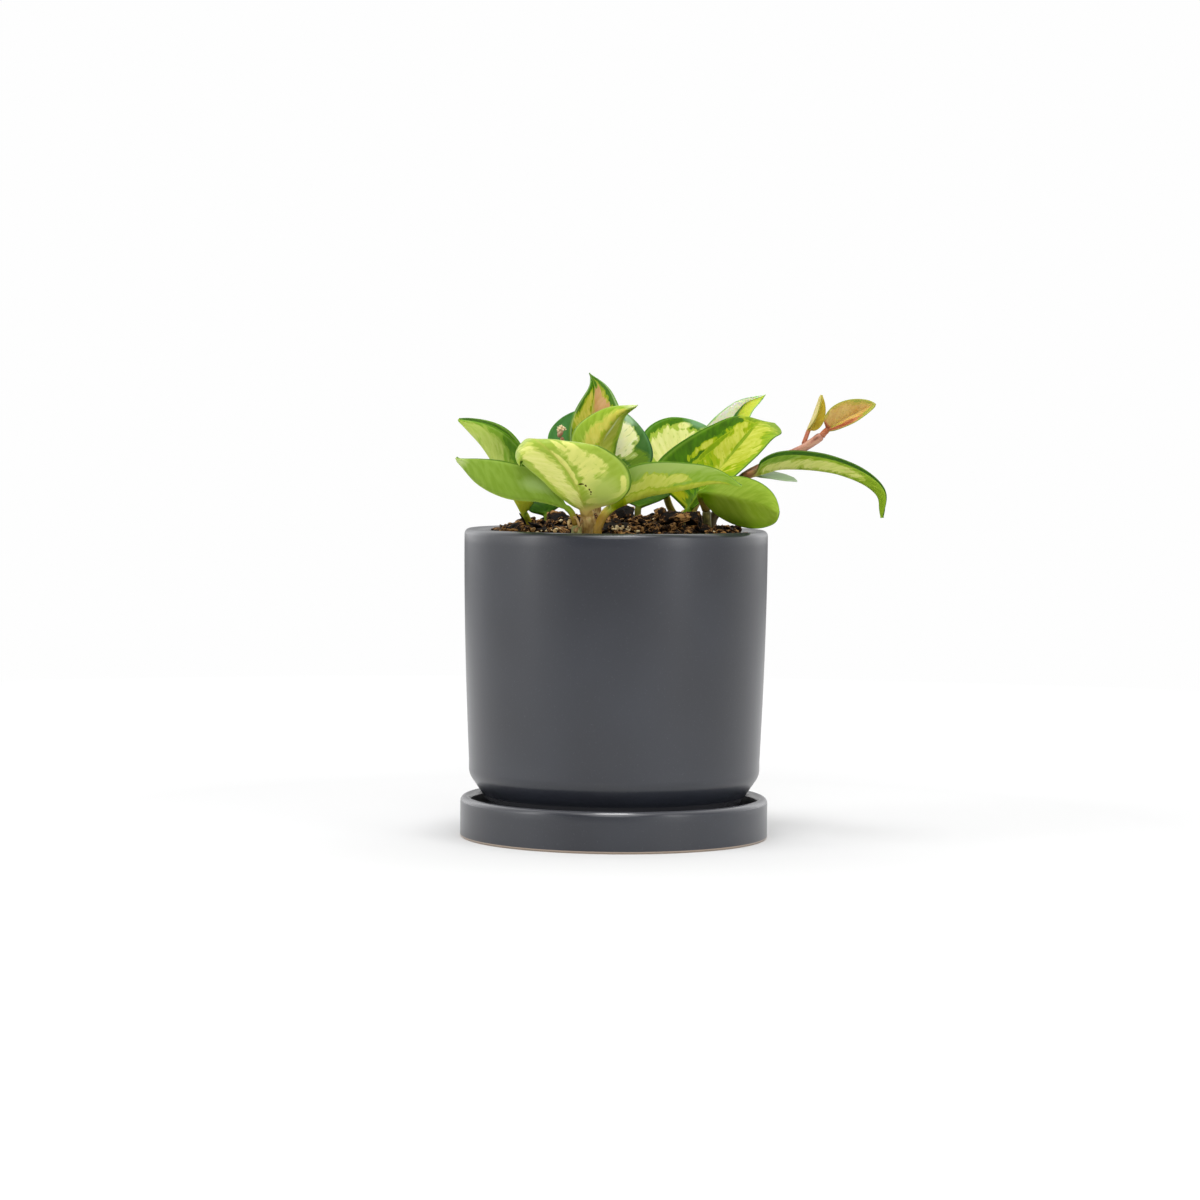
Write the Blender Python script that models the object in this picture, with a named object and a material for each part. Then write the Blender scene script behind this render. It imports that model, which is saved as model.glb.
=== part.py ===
"""Potted wax plant: thick variegated leaves in a satin charcoal pot on its saucer.

The origin is the centre of the saucer's flat base, +Z is up and -Y is the front.
Sizes are in millimetres where a name ends in _MM or a list is passed to mm(), else metres.
"""
import math
import random

import bmesh
import bpy
from mathutils import Matrix, Vector

for old in list(bpy.data.objects):
    bpy.data.objects.remove(old, do_unlink=True)

# Driving dimensions, in metres
MM = 0.001
GAP = 0.3 * MM
SEAT_GAP = 0.4 * MM
TURN_STEPS = 48

SAUCER_RADIUS = 64.5 * MM
SAUCER_HEIGHT = 17.0 * MM
SAUCER_WALL = 4.5 * MM
SAUCER_FLOOR = 5.0 * MM
SAUCER_FOOT_CHAMFER = 0.6 * MM
SAUCER_FILLET = 3.0 * MM

POT_TOP = 129.1 * MM
POT_RIM_RADIUS = 63.5 * MM
POT_LOWER_RADIUS = 61.0 * MM
POT_TAPER_TOP = 122.9 * MM
POT_TAPER_LOW = 32.0 * MM
POT_TAPER_POWER = 1.75
POT_WALL = 4.6 * MM
POT_OUTSIDE_LEVELS = 4
POT_INSIDE_LEVELS = 2
POT_EDGE_HEIGHT = 26.4 * MM
POT_EDGE_ROUNDING = 8.0 * MM
POT_FOOT_RADIUS = 46.5 * MM
POT_FOOT_RING = 6.5 * MM
POT_FOOT_RECESS = 1.5 * MM
POT_FLOOR_TOP = 12.0 * MM
POT_BOTTOM = SAUCER_FLOOR + GAP
POT_INSIDE_FOOT = 45.5 * MM
DRAIN_RADIUS = 5.5 * MM

MIX_CENTRE_TOP = 132.3 * MM
MIX_EDGE_TOP = 123.4 * MM
MIX_DOME_POWER = 3.0
MIX_BOTTOM = POT_FLOOR_TOP + GAP
MIX_CLEAR = 0.45 * MM
MIX_RELIEF = 0.8 * MM
MIX_SECTORS = 32
MIX_RINGS = 6
CHUNK_COUNT = 34
CHUNK_CLEAR_OF_STEM = 5.5 * MM
BARK_SEED = 25

HOLE_BOTTOM = 108.0 * MM
BURIED_END = HOLE_BOTTOM + GAP
HOLE_SIDES = 12
HOLE_PLAY = 0.45 * MM

STEM_SIDES = 8
PATH_STEPS = 12
RING_SPACING = 4.5 * MM

BLADE_RINGS = 11
HALF_COLUMNS = 3
RIB_THICKNESS = 1.5 * MM
MARGIN_THICKNESS = 0.85 * MM
TIP_HALF_WIDTH = 0.4 * MM
PETIOLE_BLEND = 0.06


# Small helpers

def mm(*values):
    """A point or a direction given in millimetres."""
    return Vector(values) * MM


def smoothstep(value):
    """0 below 0, 1 above 1 and an S curve between."""
    value = min(1.0, max(0.0, value))
    return value * value * (3 - 2 * value)


def srgb(hex_code):
    """Linear colour of an sRGB hex code."""
    channels = [int(hex_code[i:i + 2], 16) / 255 for i in (1, 3, 5)]
    linear = [c / 12.92 if c <= 0.04045 else ((c + 0.055) / 1.055) ** 2.4 for c in channels]
    return (*linear, 1.0)


def new_material(name, hex_code, roughness):
    """A plain Principled surface."""
    material = bpy.data.materials.new(name)
    material.use_nodes = True
    shader = material.node_tree.nodes["Principled BSDF"]
    shader.inputs["Base Color"].default_value = srgb(hex_code)
    shader.inputs["Roughness"].default_value = roughness
    shader.inputs["Metallic"].default_value = 0.0
    return material


def add_object(name, shape, hex_code, roughness, smooth=True):
    """Turn a bmesh into a named object with a material of its own."""
    bmesh.ops.recalc_face_normals(shape, faces=shape.faces)
    if shape.calc_volume(signed=True) < 0:
        bmesh.ops.reverse_faces(shape, faces=shape.faces)
    mesh = bpy.data.meshes.new(name)
    shape.to_mesh(mesh)
    shape.free()
    mesh.materials.append(new_material(name + "_surface", hex_code, roughness))
    if smooth:
        mesh.shade_smooth()
        mesh.set_sharp_from_angle(angle=math.radians(40))
    made = bpy.data.objects.new(name, mesh)
    bpy.context.collection.objects.link(made)
    return made


def with_modifiers_applied(target):
    """Keep what the modifiers make as the object's own mesh."""
    bpy.context.view_layer.update()
    seen = target.evaluated_get(bpy.context.evaluated_depsgraph_get())
    mesh = bpy.data.meshes.new_from_object(seen)
    target.modifiers.clear()
    target.data = mesh


# Paths

def smooth_path(points):
    """A dense Catmull-Rom curve through the points."""
    ends = [points[0] * 2 - points[1], *points, points[-1] * 2 - points[-2]]
    dense = []
    for a, b, c, d in zip(ends, ends[1:], ends[2:], ends[3:]):
        for step in range(PATH_STEPS):
            t = step / PATH_STEPS
            cubic = (b * 3 - c * 3 + d - a) * t ** 3
            dense.append((b * 2 + (c - a) * t + (a * 2 - b * 5 + c * 4 - d) * t ** 2 + cubic) / 2)
    dense.append(points[-1])
    return dense


def distances(path):
    """How far along the path each of its points lies."""
    run = [0.0]
    for a, b in zip(path, path[1:]):
        run.append(run[-1] + (b - a).length)
    return run


def at_distance(path, run, distance):
    """Point and direction at a distance along the path."""
    last = len(path) - 2
    i = 0
    while i < last and run[i + 1] < distance:
        i += 1
    share = (distance - run[i]) / (run[i + 1] - run[i])
    before = path[max(i - 1, 0)]
    after = path[min(i + 2, last + 1)]
    start_way = (path[i + 1] - before).normalized()
    end_way = (after - path[i]).normalized()
    return path[i].lerp(path[i + 1], share), start_way.lerp(end_way, share).normalized()


def seat_on_side(axis_point, axis_way, stem_radius, toward, radius):
    """Where a round petiole starts so that it just clears the stem it grows from."""
    way = (toward - axis_point).normalized()
    cosine = abs(way.dot(axis_way))
    sine = math.sqrt(1 - cosine ** 2)
    return axis_point + way * ((stem_radius + SEAT_GAP + radius * cosine) / sine)


def seat_on_top(path, toward, radius):
    """Where a petiole starts on its stem's end, clear of it also where it leans."""
    stem_way = (path[-1] - path[-2]).normalized()
    start = path[-1]
    for _ in range(4):
        lean = (toward - start).normalized().cross(stem_way).length
        start = path[-1] + stem_way * (SEAT_GAP + radius * lean)
    return start


# Turned pieces

def rounded_corner(before, corner, after, radius, steps):
    """Arc points that round a corner of a profile."""
    back = (Vector(before) - Vector(corner)).normalized()
    ahead = (Vector(after) - Vector(corner)).normalized()
    half = back.angle(ahead) / 2
    middle = Vector(corner) + (back + ahead).normalized() * (radius / math.sin(half))
    start = Vector(corner) + back * (radius / math.tan(half))
    end = Vector(corner) + ahead * (radius / math.tan(half))
    turn = (start - middle).angle_signed(end - middle)
    arc = []
    for step in range(steps + 1):
        angle = -turn * step / steps
        spoke = start - middle
        arc.append((middle.x + spoke.x * math.cos(angle) - spoke.y * math.sin(angle),
                    middle.y + spoke.x * math.sin(angle) + spoke.y * math.cos(angle)))
    return arc


def half_round(outer, inner, top, steps):
    """Points of a lip that is half a circle, from its outer side to its inner side."""
    radius = (outer - inner) / 2
    middle = (outer + inner) / 2
    return [(middle + radius * math.cos(math.pi * i / steps),
             top - radius + radius * math.sin(math.pi * i / steps)) for i in range(steps + 1)]


def turned(profile, closed):
    """Spin a profile of (radius, height) points about Z into a closed solid."""
    shape = bmesh.new()
    corners = [shape.verts.new((r, 0, z)) for r, z in profile]
    edges = [shape.edges.new(pair) for pair in zip(corners, corners[1:])]
    if closed:
        edges.append(shape.edges.new((corners[-1], corners[0])))
    bmesh.ops.spin(shape, geom=corners + edges, cent=(0, 0, 0), axis=(0, 0, 1),
                   angle=math.tau, steps=TURN_STEPS, use_merge=True, use_duplicate=False)
    bmesh.ops.remove_doubles(shape, verts=shape.verts, dist=0.001 * MM)
    bmesh.ops.triangulate(shape, faces=shape.faces)
    return shape


def pot_outer_radius(height):
    """The pot's gentle taper."""
    share = (POT_TAPER_TOP - height) / (POT_TAPER_TOP - POT_TAPER_LOW)
    share = min(1.0, max(0.0, share))
    return POT_RIM_RADIUS - (POT_RIM_RADIUS - POT_LOWER_RADIUS) * share ** POT_TAPER_POWER


def wall_heights(levels):
    """Evenly spaced heights on the pot's tapered wall."""
    return [POT_TAPER_LOW + (POT_TAPER_TOP - POT_TAPER_LOW) * i / levels for i in range(levels + 1)]


def make_saucer():
    """A dish with an upright wall, a rounded lip and a flat base."""
    inner = SAUCER_RADIUS - SAUCER_WALL
    base = SAUCER_RADIUS - SAUCER_FOOT_CHAMFER
    profile = [(0, 0), (base, 0), (SAUCER_RADIUS, SAUCER_FOOT_CHAMFER)]
    profile += half_round(SAUCER_RADIUS, inner, SAUCER_HEIGHT, 6)
    profile += rounded_corner((inner, SAUCER_HEIGHT), (inner, SAUCER_FLOOR), (0, SAUCER_FLOOR),
                              SAUCER_FILLET, 3)
    profile += [(0, SAUCER_FLOOR)]
    add_object("saucer", turned(profile, closed=False), "#46474C", 0.45)


def make_pot():
    """A slightly tapered cylinder with a bevelled lower edge and a drainage hole."""
    foot = (POT_FOOT_RADIUS, POT_BOTTOM)
    edge = (POT_LOWER_RADIUS, POT_EDGE_HEIGHT)
    profile = [foot]
    profile += rounded_corner(foot, edge, (POT_LOWER_RADIUS, POT_TAPER_LOW), POT_EDGE_ROUNDING, 3)
    profile += [(pot_outer_radius(height), height) for height in wall_heights(POT_OUTSIDE_LEVELS)]
    profile += half_round(POT_RIM_RADIUS, POT_RIM_RADIUS - POT_WALL, POT_TOP, 6)
    profile += [(pot_outer_radius(height) - POT_WALL, height)
                for height in reversed(wall_heights(POT_INSIDE_LEVELS))]
    profile += [(POT_INSIDE_FOOT, POT_FLOOR_TOP), (DRAIN_RADIUS, POT_FLOOR_TOP)]
    recess = POT_BOTTOM + POT_FOOT_RECESS
    ring = POT_FOOT_RADIUS - POT_FOOT_RING
    profile += [(DRAIN_RADIUS, recess), (ring - POT_FOOT_RECESS, recess), (ring, POT_BOTTOM)]
    add_object("pot", turned(profile, closed=True), "#45464B", 0.45)


# Stems: foot in the mix, points above it and radii, in millimetres
STEMS = {
    "stem_left": dict(points=[(-16, -47, 126), (-16.2, -46.8, 132.3)], radius=(2.3, 2.1)),
    "stem_front": dict(points=[(-11, -42, 127), (-11.8, -43.2, 135.6)], radius=(3.1, 2.8)),
    "stem_middle": dict(points=[(-8, 4, 134), (-8.2, 4, 143)], radius=(2.4, 1.6)),
    "stem_back_left": dict(points=[(-11, 27, 134), (-11.5, 27.8, 144)], radius=(2.0, 1.7)),
    "stem_back": dict(points=[(29, 19, 127), (29, 19, 137)], radius=(2.2, 2.0)),
    "stem_mid_right": dict(points=[(28.6, -8, 130), (28.8, -7.6, 134.5)], radius=(1.8, 1.7)),
    "stem_right": dict(points=[(37.8, -9, 128), (37.4, -10.6, 138)], radius=(2.0, 1.8)),
    "vine": dict(points=[(40, 2, 132), (43.4, 2.3, 138), (53, 3, 151), (66, 3.6, 157.9),
                         (78.2, 4, 163.7), (86.2, 4, 169.1)], radius=(2.0, 1.75)),
}

# Leaves, in millimetres. seat names the stem: with a point it grows from the stem's side
# there, without one from its cut end, and seat None roots it in the mix. left and right are
# each half's reach from the rib at the base and at the tip, seen from the upper side with
# the tip up. bend turns each half towards the upper side, in degrees. widest is the share of
# the length where a half is widest, and tip is how sharply it narrows after that.
LEAVES = {
    "leaf_left_high": dict(
        seat=None, petiole=1.6,
        stalk=[(-37, -5.6, 131.5)],
        rib=[(-38, -7.6, 134.6), (-41, -12, 141), (-46.6, -18, 150.4), (-55.6, -22, 164.6),
             (-65.4, -20, 174.6)],
        left=((18, -15, -2), (4, -18, 11)), right=((9, 9, 9.8), (10, 10, 6)),
        bend=(12, 10), widest=(0.5, 0.55), tip=(1.3, 0.75), colour="#7FA04A"),
    "leaf_left_low": dict(
        seat=("stem_left", None), petiole=1.3,
        stalk=[],
        rib=[(-19.6, -47.6, 138.6), (-30, -52, 142.4), (-44.6, -52, 143.8), (-55.6, -46, 149),
             (-65.6, -36, 158.8)],
        left=((3, -4, 14.5), (5, -8, 11)), right=((-6, 14, 6), (14, 10, 2)),
        bend=(10, 10), widest=(0.48, 0.5), tip=(1.2, 1.1), colour="#8BAA63"),
    "leaf_front": dict(
        seat=("stem_front", None), petiole=2.6,
        stalk=[],
        rib=[(-12.4, -45, 138), (-15.5, -56, 146), (-20, -65, 155), (-26, -71, 161.6),
             (-31.8, -72, 165.7), (-36.4, -65, 166.2), (-38.8, -57, 163.4)],
        left=((26.5, -9, 0.5), (22, 6, 0)), right=((-9.6, 0, -7), (-12.8, -2, -9.6)),
        bend=(5, 62), widest=(0.5, 0.52), tip=(0.55, 0.72), colour="#B9C675"),
    "leaf_top": dict(
        seat=("stem_middle", (-8, 4, 137)), petiole=1.5,
        stalk=[(-8.4, 11.5, 141)],
        rib=[(-9, 15, 145), (-11, 17, 155), (-11.5, 21, 166), (-11, 24, 178), (-10, 27, 188),
             (-12, 29, 194.5)],
        left=((-9, -14, 2), (-10, -13, 2)), right=((15.5, -8, 4), (15.5, -9, 2)),
        bend=(5, 5), widest=(0.4, 0.4), tip=(1.5, 1.0), colour="#C9B583"),
    "leaf_tip_right": dict(
        seat=("stem_middle", (-8, 4, 139)), petiole=1.5,
        stalk=[(-9, -3, 144.5)],
        rib=[(-9.5, -6, 149), (-9, -8, 158), (-7, -9, 166), (-3, -9.5, 172.5), (1.5, -10, 178),
             (8.5, -10, 181)],
        left=((11.5, 8, 0), (2, 10, -3.5)), right=((-12.5, 7, 5), (-9.5, 7, 4)),
        bend=(5, 5), widest=(0.45, 0.42), tip=(0.9, 1.0), colour="#A8B54A"),
    "leaf_dark_left": dict(
        seat=("stem_back_left", None), petiole=1.4,
        stalk=[],
        rib=[(-13, 30, 150), (-15.5, 33, 158), (-17.5, 38, 168), (-15, 42, 179)],
        left=((-13.2, -2, -3), (-12, 0, 3)), right=((10, -6, 5), (9, -10, 0)),
        bend=(5, 5), widest=(0.5, 0.5), tip=(0.8, 0.8), colour="#3F6B45"),
    "leaf_cream_right": dict(
        seat=("stem_middle", (-8.1, 4, 140)), petiole=1.4,
        stalk=[(-3.6, 7, 144.4)],
        rib=[(-2, 8, 149), (-1.5, 8, 157), (-0.5, 8, 168), (2.5, 10, 178.5)],
        left=((-14, -8, 0), (-12, -7, 4)), right=((17, -3, 0), (16, -3, -4)),
        bend=(5, 5), widest=(0.42, 0.42), tip=(0.8, 0.8), colour="#9FB48A"),
    "leaf_cream_back": dict(
        seat=("stem_back", (29, 19, 130.6)), petiole=1.5,
        stalk=[(23.4, 19.4, 136.6)],
        rib=[(21, 22, 144), (22.4, 28, 153), (25.6, 36, 161), (31.6, 44, 168), (39, 52, 172)],
        left=((-17, -2, 10), (-10, -6, 9)), right=((8, -5, -6), (8, -4, -4)),
        bend=(5, 5), widest=(0.5, 0.5), tip=(0.6, 0.6), colour="#8FAE77"),
    "leaf_white_tip": dict(
        seat=("stem_back", (29, 19, 130.6)), petiole=1.5,
        stalk=[(33, 21, 137.5)],
        rib=[(37, 26, 146), (42, 29, 157), (47, 33, 168), (52, 35, 178), (56, 35.5, 183),
             (63.3, 34, 186)],
        left=((-13, -8, 5.5), (-7, -6, 2.5)), right=((5, -11, 1), (5.5, -9, -8)),
        bend=(5, 5), widest=(0.42, 0.45), tip=(1.2, 1.0), colour="#B9C9A0"),
    "leaf_yellow_right": dict(
        seat=("stem_mid_right", None), petiole=1.6,
        stalk=[],
        rib=[(29.8, -6, 137), (34.6, -1, 144), (42.6, 4, 153.5), (52.6, 12, 165.6), (59.6, 21, 173.2),
             (67, 30, 173.4)],
        left=((-23.6, 0, 14.4), (-10, -4, 2.4)), right=((1.3, -13.7, -3.4), (9.5, -9, -8)),
        bend=(5, 5), widest=(0.4, 0.55), tip=(0.42, 0.42), colour="#B4BC55"),
    "leaf_long_front": dict(
        seat=None, petiole=1.8,
        stalk=[(-7.6, -48.6, 128.4), (-7.3, -48.4, 131.6)],
        rib=[(-3, -45.6, 138.4), (10, -49.4, 144.3), (29, -55, 148.1), (41, -58, 150.5),
             (50.2, -60, 148.8)],
        left=((4, 14, 12.6), (3, 14, 4)), right=((-7, -7, 11.5), (-2, -8, 11)),
        bend=(8, 8), widest=(0.4, 0.38), tip=(0.9, 0.95), colour="#93AC55"),
    "leaf_oval_low": dict(
        seat=("stem_right", None), petiole=1.8,
        stalk=[],
        rib=[(35.2, -16, 144.6), (43, -24, 144.4), (53, -33, 142.4), (61, -40, 140.4),
             (66, -45, 138)],
        left=((0, 8, -13), (2.4, 8, -11.6)), right=((2, 0, 9.5), (4, -3, 8)),
        bend=(5, 5), widest=(0.52, 0.5), tip=(0.6, 0.75), colour="#7FA24C"),
    "leaf_arching": dict(
        seat=("vine", (53, 3, 151)), petiole=1.5,
        stalk=[],
        rib=[(57.4, -3.6, 153), (68, -7, 156), (84, -11, 155.6), (99, -15, 151.8),
             (108.6, -17, 145), (110, -17, 135.2)],
        left=((-2, 5, 8.4), (7, 2, 2.6)), right=((-2, -6, 6.4), (6, -3, 1.4)),
        bend=(5, 5), widest=(0.4, 0.4), tip=(0.85, 0.85), colour="#86A850"),
    "leaf_grey_narrow": dict(
        seat=("vine", (53, 3, 151)), petiole=1.3,
        stalk=[],
        rib=[(57.6, 10, 152.4), (64, 18, 152.6), (71, 29, 151.8), (76, 40, 150)],
        left=((-6, 6, 1.4), (-6, 4, 1.6)), right=((5, -6, -3), (5, -5, -3)),
        bend=(5, 5), widest=(0.5, 0.45), tip=(0.5, 0.55), colour="#8FA793"),
    "leaf_young_pink": dict(
        seat=("vine", None), petiole=1.3,
        stalk=[],
        rib=[(87.8, 3.8, 171), (93.4, 3, 174.6), (100.6, 2, 178.5), (108, 0, 182.3)],
        left=((-5, -2, 6), (-3, -2, 7)), right=((1, -6.5, -3), (1, -6, -3)),
        bend=(5, 5), widest=(0.42, 0.5), tip=(0.75, 0.75), colour="#C98F66"),
    "leaf_young_small": dict(
        seat=("vine", (77.6, 4, 163.4)), petiole=0.9,
        stalk=[],
        rib=[(80.4, 7, 171), (82.4, 7.4, 175.4), (84, 8, 179.8), (85.8, 8, 186)],
        left=((0.5, -4, 1), (0.5, -4, -1)), right=((4, 2, -2), (4, 2, -1)),
        bend=(5, 5), widest=(0.4, 0.4), tip=(0.8, 0.8), colour="#A89A4C"),
    "leaf_low_middle": dict(
        seat=None, petiole=1.4,
        stalk=[(9, 6, 132.6)],
        rib=[(9.2, 6.6, 138), (11.5, 9, 141), (15, 14, 144), (19, 20, 147)],
        left=((-9, 0, 2), (-8, 2, 3)), right=((13, 0, 2.5), (11, -2, 2)),
        bend=(5, 5), widest=(0.4, 0.4), tip=(0.5, 0.5), colour="#3E5F2A"),
    "leaf_low_left_dark": dict(
        seat=None, petiole=1.4,
        stalk=[(-29, 4.6, 132.4)],
        rib=[(-29.4, 6, 134.4), (-31, 10, 138.4), (-34, 20, 142), (-38, 31, 146.4), (-42, 42, 149)],
        left=((-9, -3, -1.5), (-11, -6, 2)), right=((10, -1, 3), (12, 4, 6)),
        bend=(5, 5), widest=(0.42, 0.42), tip=(0.45, 0.45), colour="#35552B"),
    "leaf_back": dict(
        seat=("stem_back_left", (-11.2, 27.3, 138)), petiole=1.4,
        stalk=[],
        rib=[(-5, 34, 145), (-3, 40, 152), (0, 48, 159), (4, 55, 162)],
        left=((-8, 7, 5), (-8, 7, 5)), right=((9, -3, 5), (9, -3, 5)),
        bend=(5, 5), widest=(0.45, 0.45), tip=(0.8, 0.8), colour="#4F7A3C"),
}

# The bud's stalk and swelling, in millimetres
BUD_STALK = [(-12, 3.2, 150), (-17, 2.6, 157), (-21.4, 2.2, 163), (-24, 1.6, 168), (-24.3, 1.6, 172.4)]
BUD_STALK_RADIUS = 0.8 * MM
BUD_RADIUS = 2.3 * MM
BUD_LENGTH = 6.0 * MM
BUD_END_RADIUS = 0.5 * MM

# Bark pieces that give the mix its outline: centre and size, in millimetres
OUTLINE_BARK = [
    ((3, -5, 135.2), (15, 11, 9)),
    ((19, -6, 135.4), (7, 8, 9)),
    ((24.5, -14, 133.6), (9, 7, 8)),
    ((33.2, -2, 132.6), (8, 8, 7)),
    ((-43, 1, 128.6), (8, 8, 5)),
    ((-24, -12, 132.4), (9, 12, 6)),
    ((48, 4, 128.2), (8, 9, 6)),
    ((2, -40, 129.6), (11, 9, 5)),
    ((20, -38, 129.2), (12, 9, 5)),
]


def stem_path(name):
    """A stem's smooth middle line, from the bottom of its hole."""
    above = [mm(*point) for point in STEMS[name]["points"]]
    foot = above[0].copy()
    foot.z = BURIED_END
    middle = (foot + above[0]) / 2
    return smooth_path([foot, middle, *above])


def sweep(shape, path, radius_at, sides):
    """A round bar along a path, with flat ends."""
    run = distances(path)
    count = max(3, round(run[-1] / RING_SPACING))
    reference = Vector((0, 1, 0))
    rings = []
    for i in range(count + 1):
        distance = run[-1] * i / count
        centre, way = at_distance(path, run, distance)
        side = reference.cross(way).normalized()
        up = way.cross(side)
        radius = radius_at(distance, run[-1])
        angles = [math.tau * (k + 0.5) / sides for k in range(sides)]
        rings.append([shape.verts.new(centre + (side * math.cos(a) + up * math.sin(a)) * radius)
                      for a in angles])
    for low, high in zip(rings, rings[1:]):
        for k in range(sides):
            j = (k + 1) % sides
            shape.faces.new((low[k], low[j], high[j], high[k]))
    shape.faces.new(rings[0])
    shape.faces.new(rings[-1])
    bmesh.ops.triangulate(shape, faces=shape.faces)


def make_stems():
    """The woody stubs and the vine."""
    for name, stem in STEMS.items():
        first, last = (value * MM for value in stem["radius"])
        shape = bmesh.new()
        sweep(shape, stem_path(name), lambda d, whole: first + (last - first) * d / whole, STEM_SIDES)
        colour = "#A9786A" if name == "vine" else "#8C7A4F"
        add_object(name, shape, colour, 0.6)


def stem_radius_near(name, point):
    """A stem's radius at its nearest point, and its direction there."""
    path = stem_path(name)
    run = distances(path)
    nearest = min(range(len(path)), key=lambda i: (path[i] - point).length)
    first, last = (value * MM for value in STEMS[name]["radius"])
    way = at_distance(path, run, run[nearest])[1]
    return first + (last - first) * run[nearest] / run[-1], way


def petiole_start(leaf, toward):
    """First points of a leaf's path: off its stem, or down in the mix."""
    if leaf["seat"] is None:
        top = mm(*leaf["stalk"][0])
        foot = Vector((top.x, top.y, BURIED_END))
        return [foot, (foot + top) / 2]
    stem, point = leaf["seat"]
    if point is None:
        return [seat_on_top(stem_path(stem), toward, leaf["petiole"] * MM)]
    point = mm(*point)
    radius, way = stem_radius_near(stem, point)
    return [seat_on_side(point, way, radius, toward, leaf["petiole"] * MM)]


def fullness(u, widest, tip):
    """A half's share of its greatest width at u, from 0 at the base to 1 at the tip."""
    base = tip * widest / (1 - widest)
    return (u / widest) ** base * ((1 - u) / (1 - widest)) ** tip


def half_reach(leaf, side, u):
    """Direction and width of one half at u."""
    base, end = (mm(*reach) for reach in leaf[side])
    reach = base.lerp(end, u)
    which = 0 if side == "left" else 1
    width = reach.length * fullness(u, leaf["widest"][which], leaf["tip"][which])
    return reach.normalized(), width, math.radians(leaf["bend"][which])


def blade_section(leaf, centre, way, u):
    """Upper and lower points of the blade across the rib at u."""
    upper = []
    lower = []
    faces = []
    for side in ("left", "right"):
        reach, width, bend = half_reach(leaf, side, u)
        face = way.cross(reach) if side == "left" else reach.cross(way)
        faces.append(face.normalized())
    rib_normal = (faces[0] + faces[1]).normalized()
    for column in range(-HALF_COLUMNS, HALF_COLUMNS + 1):
        share = abs(column) / HALF_COLUMNS
        side = "left" if column < 0 else "right"
        face = faces[0] if column < 0 else faces[1]
        reach, width, bend = half_reach(leaf, side, u)
        width = max(width, TIP_HALF_WIDTH)
        angle = bend * share
        out = width * math.sin(angle) / bend
        lift = width * (1 - math.cos(angle)) / bend
        normal = face * math.cos(angle) - reach * math.sin(angle)
        thickness = RIB_THICKNESS + (MARGIN_THICKNESS - RIB_THICKNESS) * share
        thickness *= min(1.0, 0.45 + 0.55 * width / (4 * TIP_HALF_WIDTH))
        if column == 0:
            normal = rib_normal
            thickness /= max(0.6, rib_normal.dot(faces[0]))
        point = centre + reach * out + face * lift
        upper.append(point + normal * thickness / 2)
        lower.append(point - normal * thickness / 2)
    return upper, lower


def round_section(leaf, centre, way, radius):
    """Upper and lower points of the round petiole, matching the blade's columns."""
    left = mm(*leaf["left"][0]).normalized()
    right = mm(*leaf["right"][0]).normalized()
    across = right - left
    across = (across - way * across.dot(way)).normalized()
    up = across.cross(way)
    upper = []
    lower = []
    columns = 2 * HALF_COLUMNS + 1
    for column in range(columns):
        angle = math.pi * (1 - (column + 0.5) / columns)
        level = across * math.cos(angle) * radius
        rise = up * math.sin(angle) * radius
        upper.append(centre + level + rise)
        lower.append(centre + level - rise)
    return upper, lower


def leaf_section(leaf, path, run, start, distance):
    """The leaf's cross section at a distance along its path."""
    centre, way = at_distance(path, run, distance)
    petiole = leaf["petiole"] * MM
    u = (distance - start) / (run[-1] - start)
    if u <= 0:
        return round_section(leaf, centre, way, petiole)
    share = smoothstep(u / PETIOLE_BLEND)
    blade = blade_section(leaf, centre, way, min(u, 1.0))
    if share == 1:
        return blade
    stalk = round_section(leaf, centre, way, petiole)
    return [[a.lerp(b, share) for a, b in zip(*rows)] for rows in zip(stalk, blade)]


def loft_leaf(name, leaf):
    """One closed solid for a petiole and its blade."""
    rib = [mm(*point) for point in leaf["rib"]]
    stalk = [mm(*point) for point in leaf["stalk"]]
    beginning = petiole_start(leaf, (stalk + rib)[0])
    path = smooth_path(beginning + stalk + rib)
    run = distances(path)
    start = run[PATH_STEPS * len(beginning + stalk)]
    petiole_rings = max(1, round(start / RING_SPACING))
    stops = [start * i / petiole_rings for i in range(petiole_rings)]
    for i in range(BLADE_RINGS + 1):
        u = (1 - math.cos(math.pi * i / BLADE_RINGS)) / 2
        stops.append(start + (run[-1] - start) * u)
    shape = bmesh.new()
    sections = []
    for stop in stops:
        rows = leaf_section(leaf, path, run, start, stop)
        sections.append([[shape.verts.new(point) for point in row] for row in rows])
    last = 2 * HALF_COLUMNS
    for (top, bottom), (next_top, next_bottom) in zip(sections, sections[1:]):
        for j in range(last):
            shape.faces.new((top[j], top[j + 1], next_top[j + 1]))
            shape.faces.new((top[j], next_top[j + 1], next_top[j]))
            shape.faces.new((bottom[j + 1], bottom[j], next_bottom[j + 1]))
            shape.faces.new((bottom[j], next_bottom[j], next_bottom[j + 1]))
        shape.faces.new((bottom[0], top[0], next_top[0], next_bottom[0]))
        shape.faces.new((top[last], bottom[last], next_bottom[last], next_top[last]))
    for top, bottom in (sections[0], sections[-1]):
        shape.faces.new(top + bottom[::-1])
    quads = [face for face in shape.faces if len(face.verts) > 3]
    bmesh.ops.triangulate(shape, faces=quads)
    add_object(name, shape, leaf["colour"], 0.4)


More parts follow.
